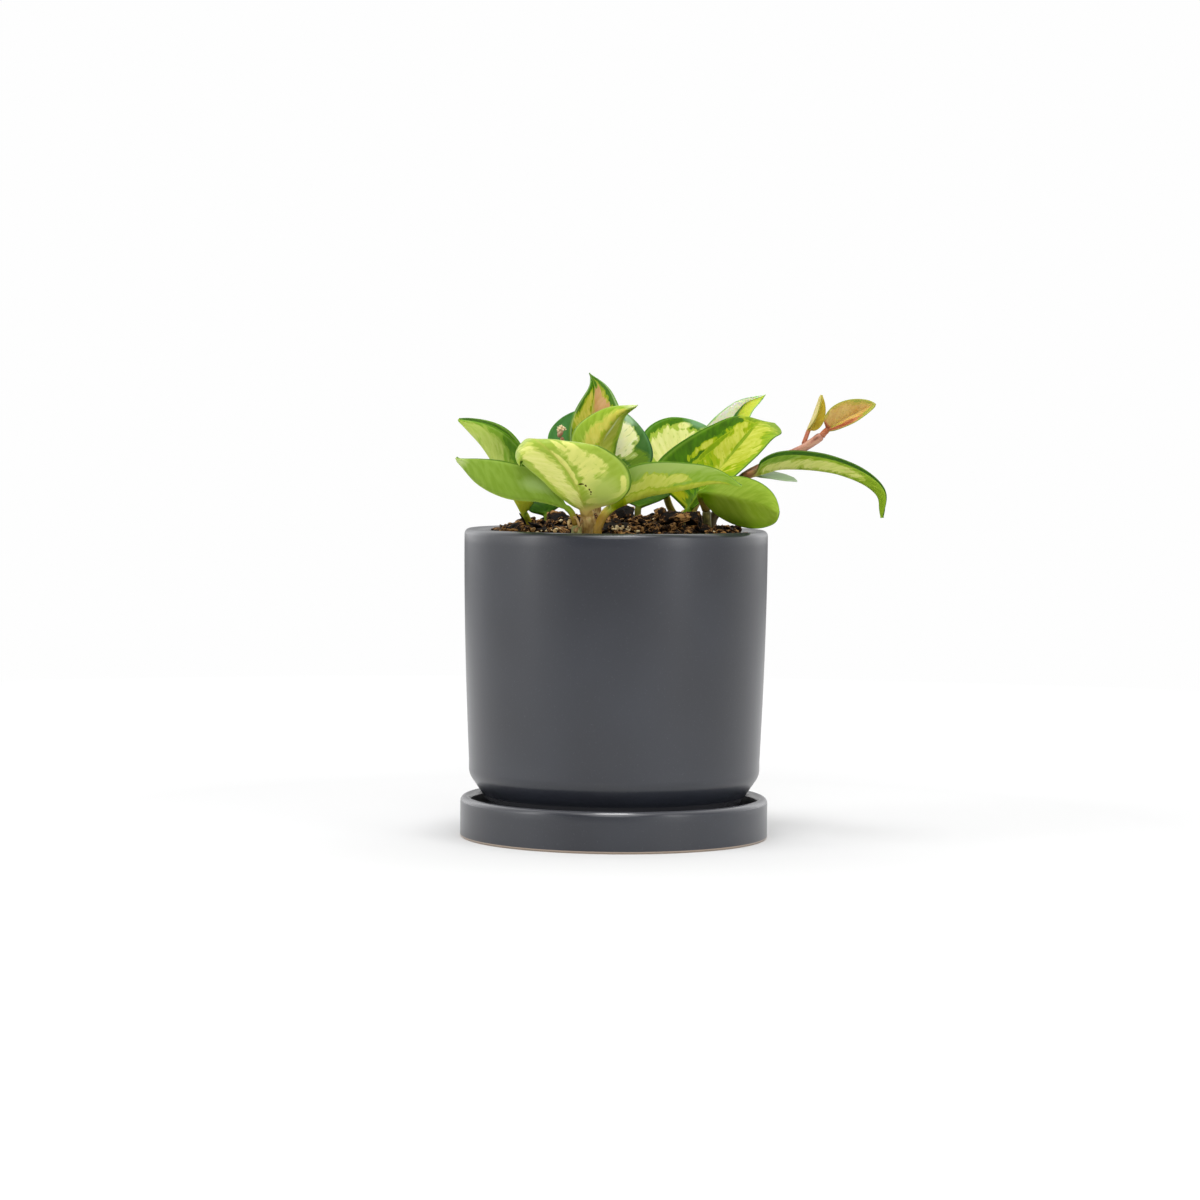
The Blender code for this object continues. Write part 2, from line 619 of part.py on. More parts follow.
def make_bud():
    """A thin stalk that swells into a small bud cluster."""
    points = [mm(*point) for point in BUD_STALK]
    start = seat_on_top(stem_path("stem_middle"), points[0], BUD_STALK_RADIUS)

    def radius_at(distance, whole):
        left = whole - distance
        if left > BUD_LENGTH:
            return BUD_STALK_RADIUS
        swell = math.sin(math.pi * left / BUD_LENGTH)
        end = BUD_STALK_RADIUS + (BUD_END_RADIUS - BUD_STALK_RADIUS) * (1 - left / BUD_LENGTH)
        return end + (BUD_RADIUS - BUD_STALK_RADIUS) * swell

    shape = bmesh.new()
    sweep(shape, smooth_path([start] + points), radius_at, STEM_SIDES)
    add_object("bud", shape, "#D9A98E", 0.6)


# The potting mix

def mix_top(x, y):
    """Height of the mix without its bark pieces."""
    share = math.hypot(x, y) / (POT_RIM_RADIUS - POT_WALL)
    dome = MIX_CENTRE_TOP - (MIX_CENTRE_TOP - MIX_EDGE_TOP) * share ** MIX_DOME_POWER
    waves = math.sin(x / (4.1 * MM) + 1.3) * math.cos(y / (3.7 * MM))
    return dome + MIX_RELIEF * waves * (1 - share ** 6)


def mix_body():
    """The filling, 0.3 mm clear of the pot's wall and floor."""
    shape = bmesh.new()
    levels = [(POT_INSIDE_FOOT - MIX_CLEAR, MIX_BOTTOM)]
    levels += [(pot_outer_radius(height) - POT_WALL - MIX_CLEAR, height)
               for height in wall_heights(POT_INSIDE_LEVELS)[:-1]]
    rings = []
    for radius, height in levels:
        rings.append([shape.verts.new((radius * math.cos(math.tau * k / MIX_SECTORS),
                                       radius * math.sin(math.tau * k / MIX_SECTORS), height))
                      for k in range(MIX_SECTORS)])
    edge = POT_RIM_RADIUS - POT_WALL - MIX_CLEAR
    for i in range(MIX_RINGS):
        radius = edge * (1 - i / MIX_RINGS)
        ring = []
        for k in range(MIX_SECTORS):
            x = radius * math.cos(math.tau * k / MIX_SECTORS)
            y = radius * math.sin(math.tau * k / MIX_SECTORS)
            ring.append(shape.verts.new((x, y, mix_top(x, y))))
        rings.append(ring)
    for low, high in zip(rings, rings[1:]):
        for k in range(MIX_SECTORS):
            j = (k + 1) % MIX_SECTORS
            shape.faces.new((low[k], low[j], high[j], high[k]))
    summit = shape.verts.new((0, 0, mix_top(0, 0)))
    for k in range(MIX_SECTORS):
        shape.faces.new((rings[-1][k], rings[-1][(k + 1) % MIX_SECTORS], summit))
    shape.faces.new(rings[0])
    bmesh.ops.triangulate(shape, faces=shape.faces)
    return add_object("potting_mix", shape, "#2E211A", 0.95, smooth=False)


def hole_places():
    """Place and radius of each piece that stands in the mix."""
    places = []
    for stem in STEMS.values():
        x, y, _ = stem["points"][0]
        places.append((x * MM, y * MM, stem["radius"][0] * MM))
    for leaf in LEAVES.values():
        if leaf["seat"] is None:
            x, y, _ = leaf["stalk"][0]
            places.append((x * MM, y * MM, leaf["petiole"] * MM))
    return places


def bark_piece(draw, centre, size, spin, tilt):
    """A rough lump: the hull of jittered points, turned and tipped."""
    shape = bmesh.new()
    for corner in range(14):
        height = 1 - 2 * (corner + 0.5) / 14
        angle = corner * 2.4
        flat = math.sqrt(1 - height ** 2)
        spot = Vector((flat * math.cos(angle), flat * math.sin(angle), height))
        spot *= draw.uniform(0.42, 0.58)
        shape.verts.new((spot.x * size[0], spot.y * size[1], spot.z * size[2]))
    hull = bmesh.ops.convex_hull(shape, input=shape.verts)
    bmesh.ops.delete(shape, geom=hull["geom_interior"], context="VERTS")
    bmesh.ops.rotate(shape, verts=shape.verts, matrix=Matrix.Rotation(tilt, 3, "X"))
    bmesh.ops.rotate(shape, verts=shape.verts, matrix=Matrix.Rotation(spin, 3, "Z"))
    bmesh.ops.translate(shape, verts=shape.verts, vec=centre)
    bmesh.ops.triangulate(shape, faces=shape.faces)
    return add_object("bark", shape, "#2E211A", 0.95, smooth=False)


def bark_pieces():
    """The outline's pieces, then smaller ones scattered on a sunflower spiral."""
    draw = random.Random(BARK_SEED)
    pieces = []
    for centre, size in OUTLINE_BARK:
        pieces.append(bark_piece(draw, mm(*centre), mm(*size), draw.uniform(0, 0.6), 0.15))
    holes = hole_places()
    for i in range(CHUNK_COUNT):
        radius = 50 * MM * math.sqrt((i + 0.5) / CHUNK_COUNT)
        angle = i * 2.39996
        x = radius * math.cos(angle)
        y = radius * math.sin(angle)
        size = mm(draw.uniform(7, 11), draw.uniform(5, 8), draw.uniform(3.5, 5.5))
        spin = draw.uniform(0, math.pi)
        tilt = draw.uniform(-0.35, 0.35)
        near_stem = any(math.hypot(x - hx, y - hy) < CHUNK_CLEAR_OF_STEM + r for hx, hy, r in holes)
        below_low_leaf = x > 36 * MM and y < -6 * MM
        if near_stem or below_low_leaf:
            continue
        pieces.append(bark_piece(draw, Vector((x, y, mix_top(x, y) + 0.4 * MM)), size, spin, tilt))
    return pieces


def boolean_with(target, pieces, operation):
    """Join or cut with a collection of pieces, keep the result and remove the pieces."""
    group = bpy.data.collections.new("pieces")
    for piece in pieces:
        bpy.context.collection.objects.unlink(piece)
        group.objects.link(piece)
    bpy.context.scene.collection.children.link(group)
    boolean = target.modifiers.new(operation.title(), "BOOLEAN")
    boolean.operation = operation
    boolean.operand_type = "COLLECTION"
    boolean.collection = group
    boolean.solver = "EXACT"
    with_modifiers_applied(target)
    for piece in pieces:
        bpy.data.objects.remove(piece, do_unlink=True)
    bpy.data.collections.remove(group)


def hole_cutter(x, y, radius):
    """A plain round cutter for one stem hole."""
    shape = bmesh.new()
    reach = (radius + HOLE_PLAY) / math.cos(math.pi / HOLE_SIDES)
    top = MIX_CENTRE_TOP + 15 * MM
    bmesh.ops.create_cone(shape, cap_ends=True, segments=HOLE_SIDES, radius1=reach, radius2=reach,
                          depth=top - HOLE_BOTTOM)
    bmesh.ops.translate(shape, verts=shape.verts, vec=(x, y, (top + HOLE_BOTTOM) / 2))
    return add_object("cutter", shape, "#2E211A", 0.95, smooth=False)


def make_potting_mix():
    """The domed bark mix, with a plain hole for each stem."""
    mix = mix_body()
    boolean_with(mix, bark_pieces(), "UNION")
    cutters = [hole_cutter(*place) for place in hole_places()]
    boolean_with(mix, cutters, "DIFFERENCE")


make_saucer()
make_pot()
make_potting_mix()
make_stems()
for leaf_name, leaf_shape in LEAVES.items():
    loft_leaf(leaf_name, leaf_shape)
make_bud()
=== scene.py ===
# %% [markdown]
# # A potted wax plant
#
# This lesson dresses the solid model of a small wax plant (Hoya) in a charcoal pot. The
# solids give every place and size. Here each of them gets a finer piece and a finish:
# thick waxy leaves with cream and yellow markings, satin ceramic, and dark bark mix.
# Lengths below are in millimetres where they stand in a list or end in _MM, else in metres.

# %% Load the frame
import math
import random

import bmesh
import bpy
from mathutils import Matrix, Vector, noise


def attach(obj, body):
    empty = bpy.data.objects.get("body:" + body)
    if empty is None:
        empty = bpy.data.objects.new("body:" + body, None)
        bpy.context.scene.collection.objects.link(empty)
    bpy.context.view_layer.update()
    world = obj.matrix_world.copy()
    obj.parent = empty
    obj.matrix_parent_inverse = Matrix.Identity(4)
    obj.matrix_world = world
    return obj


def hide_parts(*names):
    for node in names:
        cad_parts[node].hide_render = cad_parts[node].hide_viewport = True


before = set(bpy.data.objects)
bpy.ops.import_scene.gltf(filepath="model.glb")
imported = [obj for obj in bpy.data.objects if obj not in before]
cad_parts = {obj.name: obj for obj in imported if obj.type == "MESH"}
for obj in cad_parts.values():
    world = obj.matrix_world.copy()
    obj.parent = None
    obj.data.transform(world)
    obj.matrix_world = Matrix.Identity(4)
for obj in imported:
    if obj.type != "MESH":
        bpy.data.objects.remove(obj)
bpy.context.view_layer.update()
MM = 0.001
print("nodes in the frame:", len(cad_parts))

# %% [markdown]
# ## Camera
#
# The photograph was taken from about one and a half metres with a long lens, from a little
# above the leaves. Place, lens and tilt were worked out from the ellipses of the pot's rim
# and the saucer's foot, whose real sizes are known.

# %% Camera
FRAME_PIXELS = 1200
FOCAL_PIXELS = 3582
SENSOR_MM = 36.0
CAMERA_DISTANCE = 1.5
CAMERA_HEIGHT = 0.1763
CAMERA_PITCH = math.radians(2.94)
CAMERA_YAW = math.radians(-0.25)
CAMERA_ROLL = math.radians(0.51)


def camera_axes():
    """Right, up and backward directions of the camera."""
    ahead = Vector((math.sin(CAMERA_YAW) * math.cos(CAMERA_PITCH),
                    math.cos(CAMERA_YAW) * math.cos(CAMERA_PITCH),
                    -math.sin(CAMERA_PITCH)))
    level = Vector((math.cos(CAMERA_YAW), -math.sin(CAMERA_YAW), 0.0))
    upright = level.cross(ahead)
    right = level * math.cos(CAMERA_ROLL) + upright * math.sin(CAMERA_ROLL)
    return right, right.cross(ahead), -ahead


camera_data = bpy.data.cameras.new("camera")
camera_data.sensor_width = SENSOR_MM
camera_data.lens = FOCAL_PIXELS / FRAME_PIXELS * SENSOR_MM
camera = bpy.data.objects.new("camera", camera_data)
bpy.context.collection.objects.link(camera)
camera.matrix_world = (Matrix.Translation((0, -CAMERA_DISTANCE, CAMERA_HEIGHT))
                       @ Matrix(camera_axes()).transposed().to_4x4())
bpy.context.scene.camera = camera
print("lens in mm:", round(camera_data.lens, 1))

# %% [markdown]
# ## Small tools for materials
#
# Colours are written as sRGB hex codes, the way a colour picker shows them, and one function
# turns them to the linear numbers that the renderer works with. Another small function adds
# a node with its settings and its links, so that a material reads as a list of steps.

# %% Material helpers
def linear(hex_code):
    """Linear RGBA of an sRGB hex code."""
    channels = [int(hex_code[i:i + 2], 16) / 255 for i in (1, 3, 5)]
    return [c / 12.92 if c <= 0.04045 else ((c + 0.055) / 1.055) ** 2.4 for c in channels] + [1.0]


def add(tree, kind, links=None, values=None, **settings):
    """Add one node: its settings, its plain input values and the sockets that feed it."""
    made = tree.nodes.new("ShaderNode" + kind)
    for key, value in settings.items():
        setattr(made, key, value)
    for key, value in (values or {}).items():
        made.inputs[key].default_value = value
    for key, source in (links or {}).items():
        tree.links.new(source, made.inputs[key])
    return made.outputs[0]


def new_finish(name):
    """An empty node material, its tree and its Principled shader."""
    material = bpy.data.materials.new(name)
    material.use_nodes = True
    tree = material.node_tree
    return material, tree, tree.nodes["Principled BSDF"]


def ramp(tree, source, stops):
    """A colour ramp with (position, hex colour) stops."""
    made = tree.nodes.new("ShaderNodeValToRGB")
    while len(made.color_ramp.elements) < len(stops):
        made.color_ramp.elements.new(0.5)
    for element, (position, hex_code) in zip(made.color_ramp.elements, stops):
        element.position = position
        element.color = linear(hex_code)
    tree.links.new(source, made.inputs["Fac"])
    return made.outputs["Color"]


def remap(tree, source, low, high, to_low=0.0, to_high=1.0):
    """A clamped straight map of a number from one range to another."""
    return add(tree, "MapRange", {"Value": source},
               {"From Min": low, "From Max": high, "To Min": to_low, "To Max": to_high})


def number(tree, operation, *terms):
    """A Math node; each term is a socket or a plain number."""
    made = tree.nodes.new("ShaderNodeMath")
    made.operation = operation
    for index, term in enumerate(terms):
        if isinstance(term, (int, float)):
            made.inputs[index].default_value = term
        else:
            tree.links.new(term, made.inputs[index])
    return made.outputs[0]


def blend(tree, share, first, second):
    """Mix two colours; each is a socket or a hex code."""
    mixer = tree.nodes.new("ShaderNodeMix")
    mixer.data_type = "RGBA"
    for index, colour in ((6, first), (7, second)):
        if isinstance(colour, str):
            mixer.inputs[index].default_value = linear(colour)
        else:
            tree.links.new(colour, mixer.inputs[index])
    if isinstance(share, float):
        mixer.inputs[0].default_value = share
    else:
        tree.links.new(share, mixer.inputs[0])
    return mixer.outputs[2]


# %% [markdown]
# ## Pieces made from a bent grid
#
# Leaves, stems, roots and the top of the mix are all the same thing to a modeller: a sheet of
# squares that is bent into place by a formula. A grid is rolled up into a closed skin here,
# its seam is welded, and its open ends are closed. The grid keeps a UV map, so a pattern can
# follow the piece from its foot to its tip and round it.

# %% Bent grid helper
def rolled_skin(columns, rings, map_name="Skin"):
    """A closed skin from a list of rings; a ring is a list of (point, uv) pairs."""
    shape = bmesh.new()
    count = len(rings) - 1
    bmesh.ops.create_grid(shape, x_segments=columns, y_segments=count, size=1)
    places = shape.loops.layers.uv.new(map_name)
    uv_of = {}
    for vert in shape.verts:
        column = round((vert.co.x + 1) / 2 * columns)
        row = round((vert.co.y + 1) / 2 * count)
        point, uv = rings[row][column]
        vert.co = point
        uv_of[vert.index] = uv
    shape.verts.ensure_lookup_table()
    for face in shape.faces:
        for loop in face.loops:
            loop[places].uv = uv_of[loop.vert.index]
    bmesh.ops.remove_doubles(shape, verts=shape.verts, dist=0.002 * MM)
    bmesh.ops.holes_fill(shape, edges=shape.edges, sides=0)
    bmesh.ops.recalc_face_normals(shape, faces=shape.faces)
    return shape


def finished(name, shape, material, stands_for=(), smooth=True):
    """Make a bmesh an object with its finish, and let it ride with the body."""
    mesh = bpy.data.meshes.new(name)
    shape.to_mesh(mesh)
    shape.free()
    mesh.materials.append(material)
    if smooth:
        mesh.shade_smooth()
    piece = bpy.data.objects.new(name, mesh)
    bpy.context.collection.objects.link(piece)
    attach(piece, "root")
    if stands_for:
        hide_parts(*stands_for)
    return piece


# %% [markdown]
# ## The pot and its saucer
#
# Both are stoneware, thrown or slip-cast and covered with a satin charcoal glaze. The glaze
# is smooth to the hand but not glossy, so the studio's windows show on it only as soft
# upright bands, and its skin is broken by a grain as fine as sand. A turned shape is a
# profile spun round its axis, so that is how they are made here, with enough steps that no
# facets show.

# %% Ceramic sizes
SAUCER_RADIUS = 64.5 * MM
SAUCER_HEIGHT = 17.0 * MM
SAUCER_WALL = 4.5 * MM
SAUCER_FLOOR = 5.0 * MM
POT_TOP = 129.1 * MM
POT_RIM_RADIUS = 63.5 * MM
POT_LOWER_RADIUS = 61.0 * MM
POT_TAPER_TOP = 122.9 * MM
POT_TAPER_LOW = 32.0 * MM
POT_TAPER_POWER = 1.75
POT_WALL = 4.6 * MM
POT_EDGE_HEIGHT = 26.4 * MM
POT_EDGE_ROUNDING = 8.0 * MM
POT_FOOT_RADIUS = 46.5 * MM
POT_FOOT_RING = 6.5 * MM
POT_FOOT_RECESS = 1.5 * MM
POT_FLOOR_TOP = 12.0 * MM
POT_INSIDE_FOOT = 45.5 * MM
POT_BOTTOM = SAUCER_FLOOR + 0.3 * MM
DRAIN_RADIUS = 5.5 * MM
TURN_STEPS = 160


def pot_outer_radius(height):
    """The pot's gentle taper."""
    share = (POT_TAPER_TOP - height) / (POT_TAPER_TOP - POT_TAPER_LOW)
    share = min(1.0, max(0.0, share))
    return POT_RIM_RADIUS - (POT_RIM_RADIUS - POT_LOWER_RADIUS) * share ** POT_TAPER_POWER


def corner_arc(before, corner, after, radius, steps=6):
    """Points that round a corner of a profile with an arc."""
    back = (Vector(before) - Vector(corner)).normalized()
    ahead = (Vector(after) - Vector(corner)).normalized()
    half = back.angle(ahead) / 2
    middle = Vector(corner) + (back + ahead).normalized() * (radius / math.sin(half))
    start = Vector(corner) + back * (radius / math.tan(half))
    end = Vector(corner) + ahead * (radius / math.tan(half))
    turn = (start - middle).angle_signed(end - middle)
    arc = []
    for step in range(steps + 1):
        spoke = start - middle
        spoke.rotate(Matrix.Rotation(-turn * step / steps, 2))
        arc.append(tuple(middle + spoke))
    return arc


def lip(outer, inner, top, steps=10):
    """Half a circle over a wall, from its outer side to its inner side."""
    radius = (outer - inner) / 2
    middle = (outer + inner) / 2
    return [(middle + radius * math.cos(math.pi * i / steps),
             top - radius + radius * math.sin(math.pi * i / steps)) for i in range(steps + 1)]


def turned(profile, closed):
    """Spin a profile of (radius, height) points about Z."""
    shape = bmesh.new()
    corners = [shape.verts.new((r, 0, z)) for r, z in profile]
    edges = [shape.edges.new(pair) for pair in zip(corners, corners[1:])]
    if closed:
        edges.append(shape.edges.new((corners[-1], corners[0])))
    bmesh.ops.spin(shape, geom=corners + edges, cent=(0, 0, 0), axis=(0, 0, 1),
                   angle=math.tau, steps=TURN_STEPS, use_merge=True, use_duplicate=False)
    bmesh.ops.remove_doubles(shape, verts=shape.verts, dist=0.001 * MM)
    bmesh.ops.recalc_face_normals(shape, faces=shape.faces)
    return shape


# %% [markdown]
# A satin glaze bends light a little more than glass, 1.6, and its roughness is near 0.3. A
# noise of less than a millimetre breaks the surface, and a wide, faint one keeps the colour
# from being dead even. On the saucer's lip the glaze is glossier, and its paler tint there
# is a painted highlight. Where the saucer meets the table it is wiped off and pale clay shows.

# %% Satin glaze
GLAZE = "#24262D"
GLAZE_LIGHT = "#2B2E36"
LIP_HIGHLIGHT = "#4A4B50"
BARE_CLAY = "#A39282"
GRAIN_MM = 0.7
FOOT_LINE = 0.9 * MM
SAUCER_LIP = (15.2 * MM, 16.4 * MM)


def satin_glaze(name):
    """Charcoal satin glaze with a sandy grain, a painted highlight on the saucer's lip and a bare clay foot."""
    material, tree, shader = new_finish(name)
    place = tree.nodes.new("ShaderNodeTexCoord").outputs["Object"]
    clouds = add(tree, "TexNoise", {"Vector": place}, {"Scale": 1 / (40 * MM), "Detail": 1.0})
    grain = add(tree, "TexNoise", {"Vector": place},
                {"Scale": 1 / (GRAIN_MM * MM), "Detail": 2.0, "Roughness": 0.6})
    colour = blend(tree, remap(tree, clouds, 0.3, 0.7), GLAZE, GLAZE_LIGHT)
    specks = remap(tree, grain, 0.62, 0.74)
    colour = blend(tree, number(tree, "MULTIPLY", specks, 0.25), colour, "#53555C")
    height = add(tree, "SeparateXYZ", {"Vector": place})
    height = height.node.outputs["Z"]
    on_lip = number(tree, "MINIMUM", remap(tree, height, *SAUCER_LIP),
                    remap(tree, height, SAUCER_HEIGHT + 1 * MM, SAUCER_HEIGHT + 0.5 * MM))
    # The paler tint on the saucer's lip is a painted highlight; the lower roughness there is the glaze's own.
    colour = blend(tree, on_lip, colour, LIP_HIGHLIGHT)
    bare = remap(tree, height, FOOT_LINE * 1.15, FOOT_LINE)
    colour = blend(tree, bare, colour, BARE_CLAY)
    tree.links.new(colour, shader.inputs["Base Color"])
    tree.links.new(remap(tree, on_lip, 0.0, 1.0, 0.28, 0.14), shader.inputs["Roughness"])
    bump = add(tree, "Bump", {"Height": grain}, {"Strength": 0.12, "Distance": 0.1 * MM})
    tree.links.new(bump, shader.inputs["Normal"])
    shader.inputs["IOR"].default_value = 1.6
    return material


glaze = satin_glaze("satin_charcoal_glaze")


def turn_saucer():
    """The dish: flat foot, upright wall, round lip and a soft inner corner."""
    inner = SAUCER_RADIUS - SAUCER_WALL
    foot = 0.6 * MM
    profile = [(0, 0), (30 * MM, 0), (SAUCER_RADIUS - foot, 0), (SAUCER_RADIUS, foot)]
    profile += [(SAUCER_RADIUS, height * MM) for height in (4, 8, 12)]
    profile += lip(SAUCER_RADIUS, inner, SAUCER_HEIGHT)
    profile += corner_arc((inner, SAUCER_HEIGHT), (inner, SAUCER_FLOOR), (0, SAUCER_FLOOR), 3 * MM)
    profile += [(30 * MM, SAUCER_FLOOR), (0, SAUCER_FLOOR)]
    return finished("saucer_dish", turned(profile, closed=False), glaze, ["saucer"])


def turn_pot():
    """The pot: bevelled lower edge, tapered wall, round rim and a hollow inside."""
    foot = (POT_FOOT_RADIUS, POT_BOTTOM)
    edge = (POT_LOWER_RADIUS, POT_EDGE_HEIGHT)
    heights = [POT_TAPER_LOW + (POT_TAPER_TOP - POT_TAPER_LOW) * i / 24 for i in range(25)]
    profile = [foot, (POT_FOOT_RADIUS + 3.6 * MM, POT_BOTTOM + 5.24 * MM)]
    profile += corner_arc(foot, edge, (POT_LOWER_RADIUS, POT_TAPER_LOW), POT_EDGE_ROUNDING, 8)
    profile += [(pot_outer_radius(height), height) for height in heights]
    profile += lip(POT_RIM_RADIUS, POT_RIM_RADIUS - POT_WALL, POT_TOP, 12)
    profile += [(pot_outer_radius(height) - POT_WALL, height) for height in reversed(heights)]
    profile += [(POT_INSIDE_FOOT, POT_FLOOR_TOP), (DRAIN_RADIUS, POT_FLOOR_TOP)]
    recess = POT_BOTTOM + POT_FOOT_RECESS
    ring = POT_FOOT_RADIUS - POT_FOOT_RING
    profile += [(DRAIN_RADIUS, recess), (ring - POT_FOOT_RECESS, recess), (ring, POT_BOTTOM)]
    return finished("pot_body", turned(profile, closed=True), glaze, ["pot"])


for turned_piece in (turn_saucer(), turn_pot()):
    turned_piece.data.set_sharp_from_angle(angle=math.radians(35))
    print(turned_piece.name, "faces:", len(turned_piece.data.polygons))

# %% [markdown]
# ## Where the stems stand
#
# The plant is a handful of rooted cuttings. Each stem is a short woody stub, and one has
# grown into a thin vine that leans out to the right and carries the newest pair of leaves.
# A smooth curve runs through a few points of each, and the stem is a round skin along it.
# A sleeve is bark that has grown a little way up the leaf stalk on the stub's end.

# %% Paths and stems
STEMS = {
    "stem_left": dict(points=[(-16, -47, 126), (-16.2, -46.8, 132.3)], radius=(2.3, 2.1)),
    "stem_front": dict(points=[(-11, -42, 127), (-11.8, -43.2, 135.6)], radius=(3.1, 2.8),
                       sleeve=[(-12.2, -44.5, 137.4)]),
    "stem_middle": dict(points=[(-8, 4, 134), (-8.2, 4, 143)], radius=(2.4, 1.6)),
    "stem_back_left": dict(points=[(-11, 27, 134), (-11.5, 27.8, 144)], radius=(2.0, 1.7)),
    "stem_back": dict(points=[(29, 19, 127), (29, 19, 137)], radius=(2.2, 2.0)),
    "stem_mid_right": dict(points=[(28.6, -8, 130), (28.8, -7.6, 134.5)], radius=(1.8, 1.7)),
    "stem_right": dict(points=[(37.8, -9, 128), (37.4, -10.6, 138)], radius=(2.0, 1.8)),
    "vine": dict(points=[(40, 2, 132), (43.4, 2.3, 138), (53, 3, 151), (66, 3.6, 157.9),
                         (78.2, 4, 163.7), (86.2, 4, 169.1)], radius=(2.0, 1.75)),
}
BURIED_END = 108.3 * MM
PATH_STEPS = 12
SEAT_SINK = 0.8 * MM
FOOT_FLARE = 0.12


def mm(*values):
    """A point or a direction given in millimetres."""
    return Vector(values) * MM


def smooth_path(points):
    """A dense Catmull-Rom curve through the points."""
    ends = [points[0] * 2 - points[1], *points, points[-1] * 2 - points[-2]]
    dense = []
    for a, b, c, d in zip(ends, ends[1:], ends[2:], ends[3:]):
        for step in range(PATH_STEPS):
            t = step / PATH_STEPS
            cubic = (b * 3 - c * 3 + d - a) * t ** 3
            dense.append((b * 2 + (c - a) * t + (a * 2 - b * 5 + c * 4 - d) * t ** 2 + cubic) / 2)
    dense.append(points[-1])
    return dense


def distances(path):
    """How far along the path each of its points lies."""
    run = [0.0]
    for a, b in zip(path, path[1:]):
        run.append(run[-1] + (b - a).length)
    return run


def at_distance(path, run, distance):
    """Point and direction at a distance along the path."""
    last = len(path) - 2
    i = 0
    while i < last and run[i + 1] < distance:
        i += 1
    share = (distance - run[i]) / (run[i + 1] - run[i])
    before = path[max(i - 1, 0)]
    after = path[min(i + 2, last + 1)]
    start_way = (path[i + 1] - before).normalized()
    end_way = (after - path[i]).normalized()
    return path[i].lerp(path[i + 1], share), start_way.lerp(end_way, share).normalized()


def stem_path(name):
    """A stem's middle line, from the bottom of its hole."""
    above = [mm(*point) for point in STEMS[name]["points"]]
    foot = above[0].copy()
    foot.z = BURIED_END
    return smooth_path([foot, (foot + above[0]) / 2, *above])


def round_skin(path, radius_at, columns=20, spacing=0.5 * MM, rough=0.0, seed=0.0):
    """A closed round skin along a path; radius_at gets the distance and the whole length."""
    run = distances(path)
    count = max(6, round(run[-1] / spacing))
    reference = Vector((0, 1, 0))
    rings = []
    for row in range(count + 1):
        share = row / count
        distance = run[-1] * share
        centre, way = at_distance(path, run, distance)
        side = reference.cross(way).normalized()
        up = way.cross(side)
        radius = radius_at(distance, run[-1])
        to_end = min(distance, run[-1] - distance) / (0.9 * radius)
        inset = math.sqrt(max(0.06, 1 - (1 - min(1.0, to_end)) ** 2))
        ring = []
        for column in range(columns + 1):
            angle = math.tau * column / columns
            spoke = side * math.cos(angle) + up * math.sin(angle)
            wobble = noise.noise((centre + spoke * radius) / (1.6 * MM) + Vector((seed, 0, 0)))
            ring.append((centre + spoke * (radius * inset + rough * wobble),
                         (column / columns, distance / MM)))
        rings.append(ring)
    return rolled_skin(columns, rings)


# %% [markdown]
# Old hoya stems turn tan and brown with fine length-wise cracks. The young vine is smooth and
# flushed pink-brown by the sun. Both finishes stretch a noise along the stem, which the UV
# map makes easy: its second number is the distance along the stem in millimetres.

# %% Stem finishes
OLD_FOOT_MM = (45.0, 58.0)


def bark_skin(name, stops, crack_mm, bump_mm, roughness, foot=None):
    """A stem's skin: streaks and cracks that run along it, and the tint of an older foot."""
    material, tree, shader = new_finish(name)
    lay = add(tree, "UVMap", uv_map="Skin")
    stretched = add(tree, "VectorMath", {0: lay}, {1: (9.0, 1 / crack_mm, 1.0)}, operation="MULTIPLY")
    streaks = add(tree, "TexNoise", {"Vector": stretched}, {"Scale": 1.0, "Detail": 4.0})
    place = tree.nodes.new("ShaderNodeTexCoord").outputs["Object"]
    patches = add(tree, "TexNoise", {"Vector": place}, {"Scale": 1 / (4 * MM), "Detail": 2.0})
    mixed = number(tree, "MULTIPLY", number(tree, "ADD", streaks, patches), 0.5)
    colour = ramp(tree, mixed, stops)
    if foot:
        along = add(tree, "SeparateXYZ", {"Vector": lay}).node.outputs["Y"]
        colour = blend(tree, remap(tree, along, *OLD_FOOT_MM, 1.0, 0.0), colour, foot)
    tree.links.new(colour, shader.inputs["Base Color"])
    bump = add(tree, "Bump", {"Height": streaks}, {"Strength": 0.6, "Distance": bump_mm * MM})
    tree.links.new(bump, shader.inputs["Normal"])
    shader.inputs["Roughness"].default_value = roughness
    return material


woody = bark_skin("woody_stem", [(0.36, "#7A5420"), (0.45, "#B08C48"), (0.55, "#D2B674"),
                                 (0.66, "#BCB468")], 6.0, 0.35, 0.6)
# The two stems on the right stand in the shade of the leaves; their dark olive is their own colour darkened by
# painted shade.
shaded = bark_skin("shaded_stem", [(0.38, "#2C2A08"), (0.5, "#565214"), (0.62, "#7C7430")], 6.0, 0.3, 0.6)
flushed = bark_skin("flushed_vine", [(0.38, "#7A4A33"), (0.5, "#B87C64"), (0.62, "#CC9C80")],
                    12.0, 0.12, 0.45, "#4A3A10")
green_nub = bark_skin("green_stub", [(0.38, "#7E7F36"), (0.55, "#A7A768"), (0.66, "#BDBB84")],
                      5.0, 0.25, 0.6)


def stem_radius(name):
    """A stem's radius as a function of the distance along it, with a slight swelling that comes and goes along it.
    """
    first, last = (value * MM for value in STEMS[name]["radius"])

    def radius_at(distance, whole):
        taper = first + (last - first) * distance / whole
        return taper * (1 + 0.04 * math.sin(distance / (3.1 * MM)))
    return radius_at


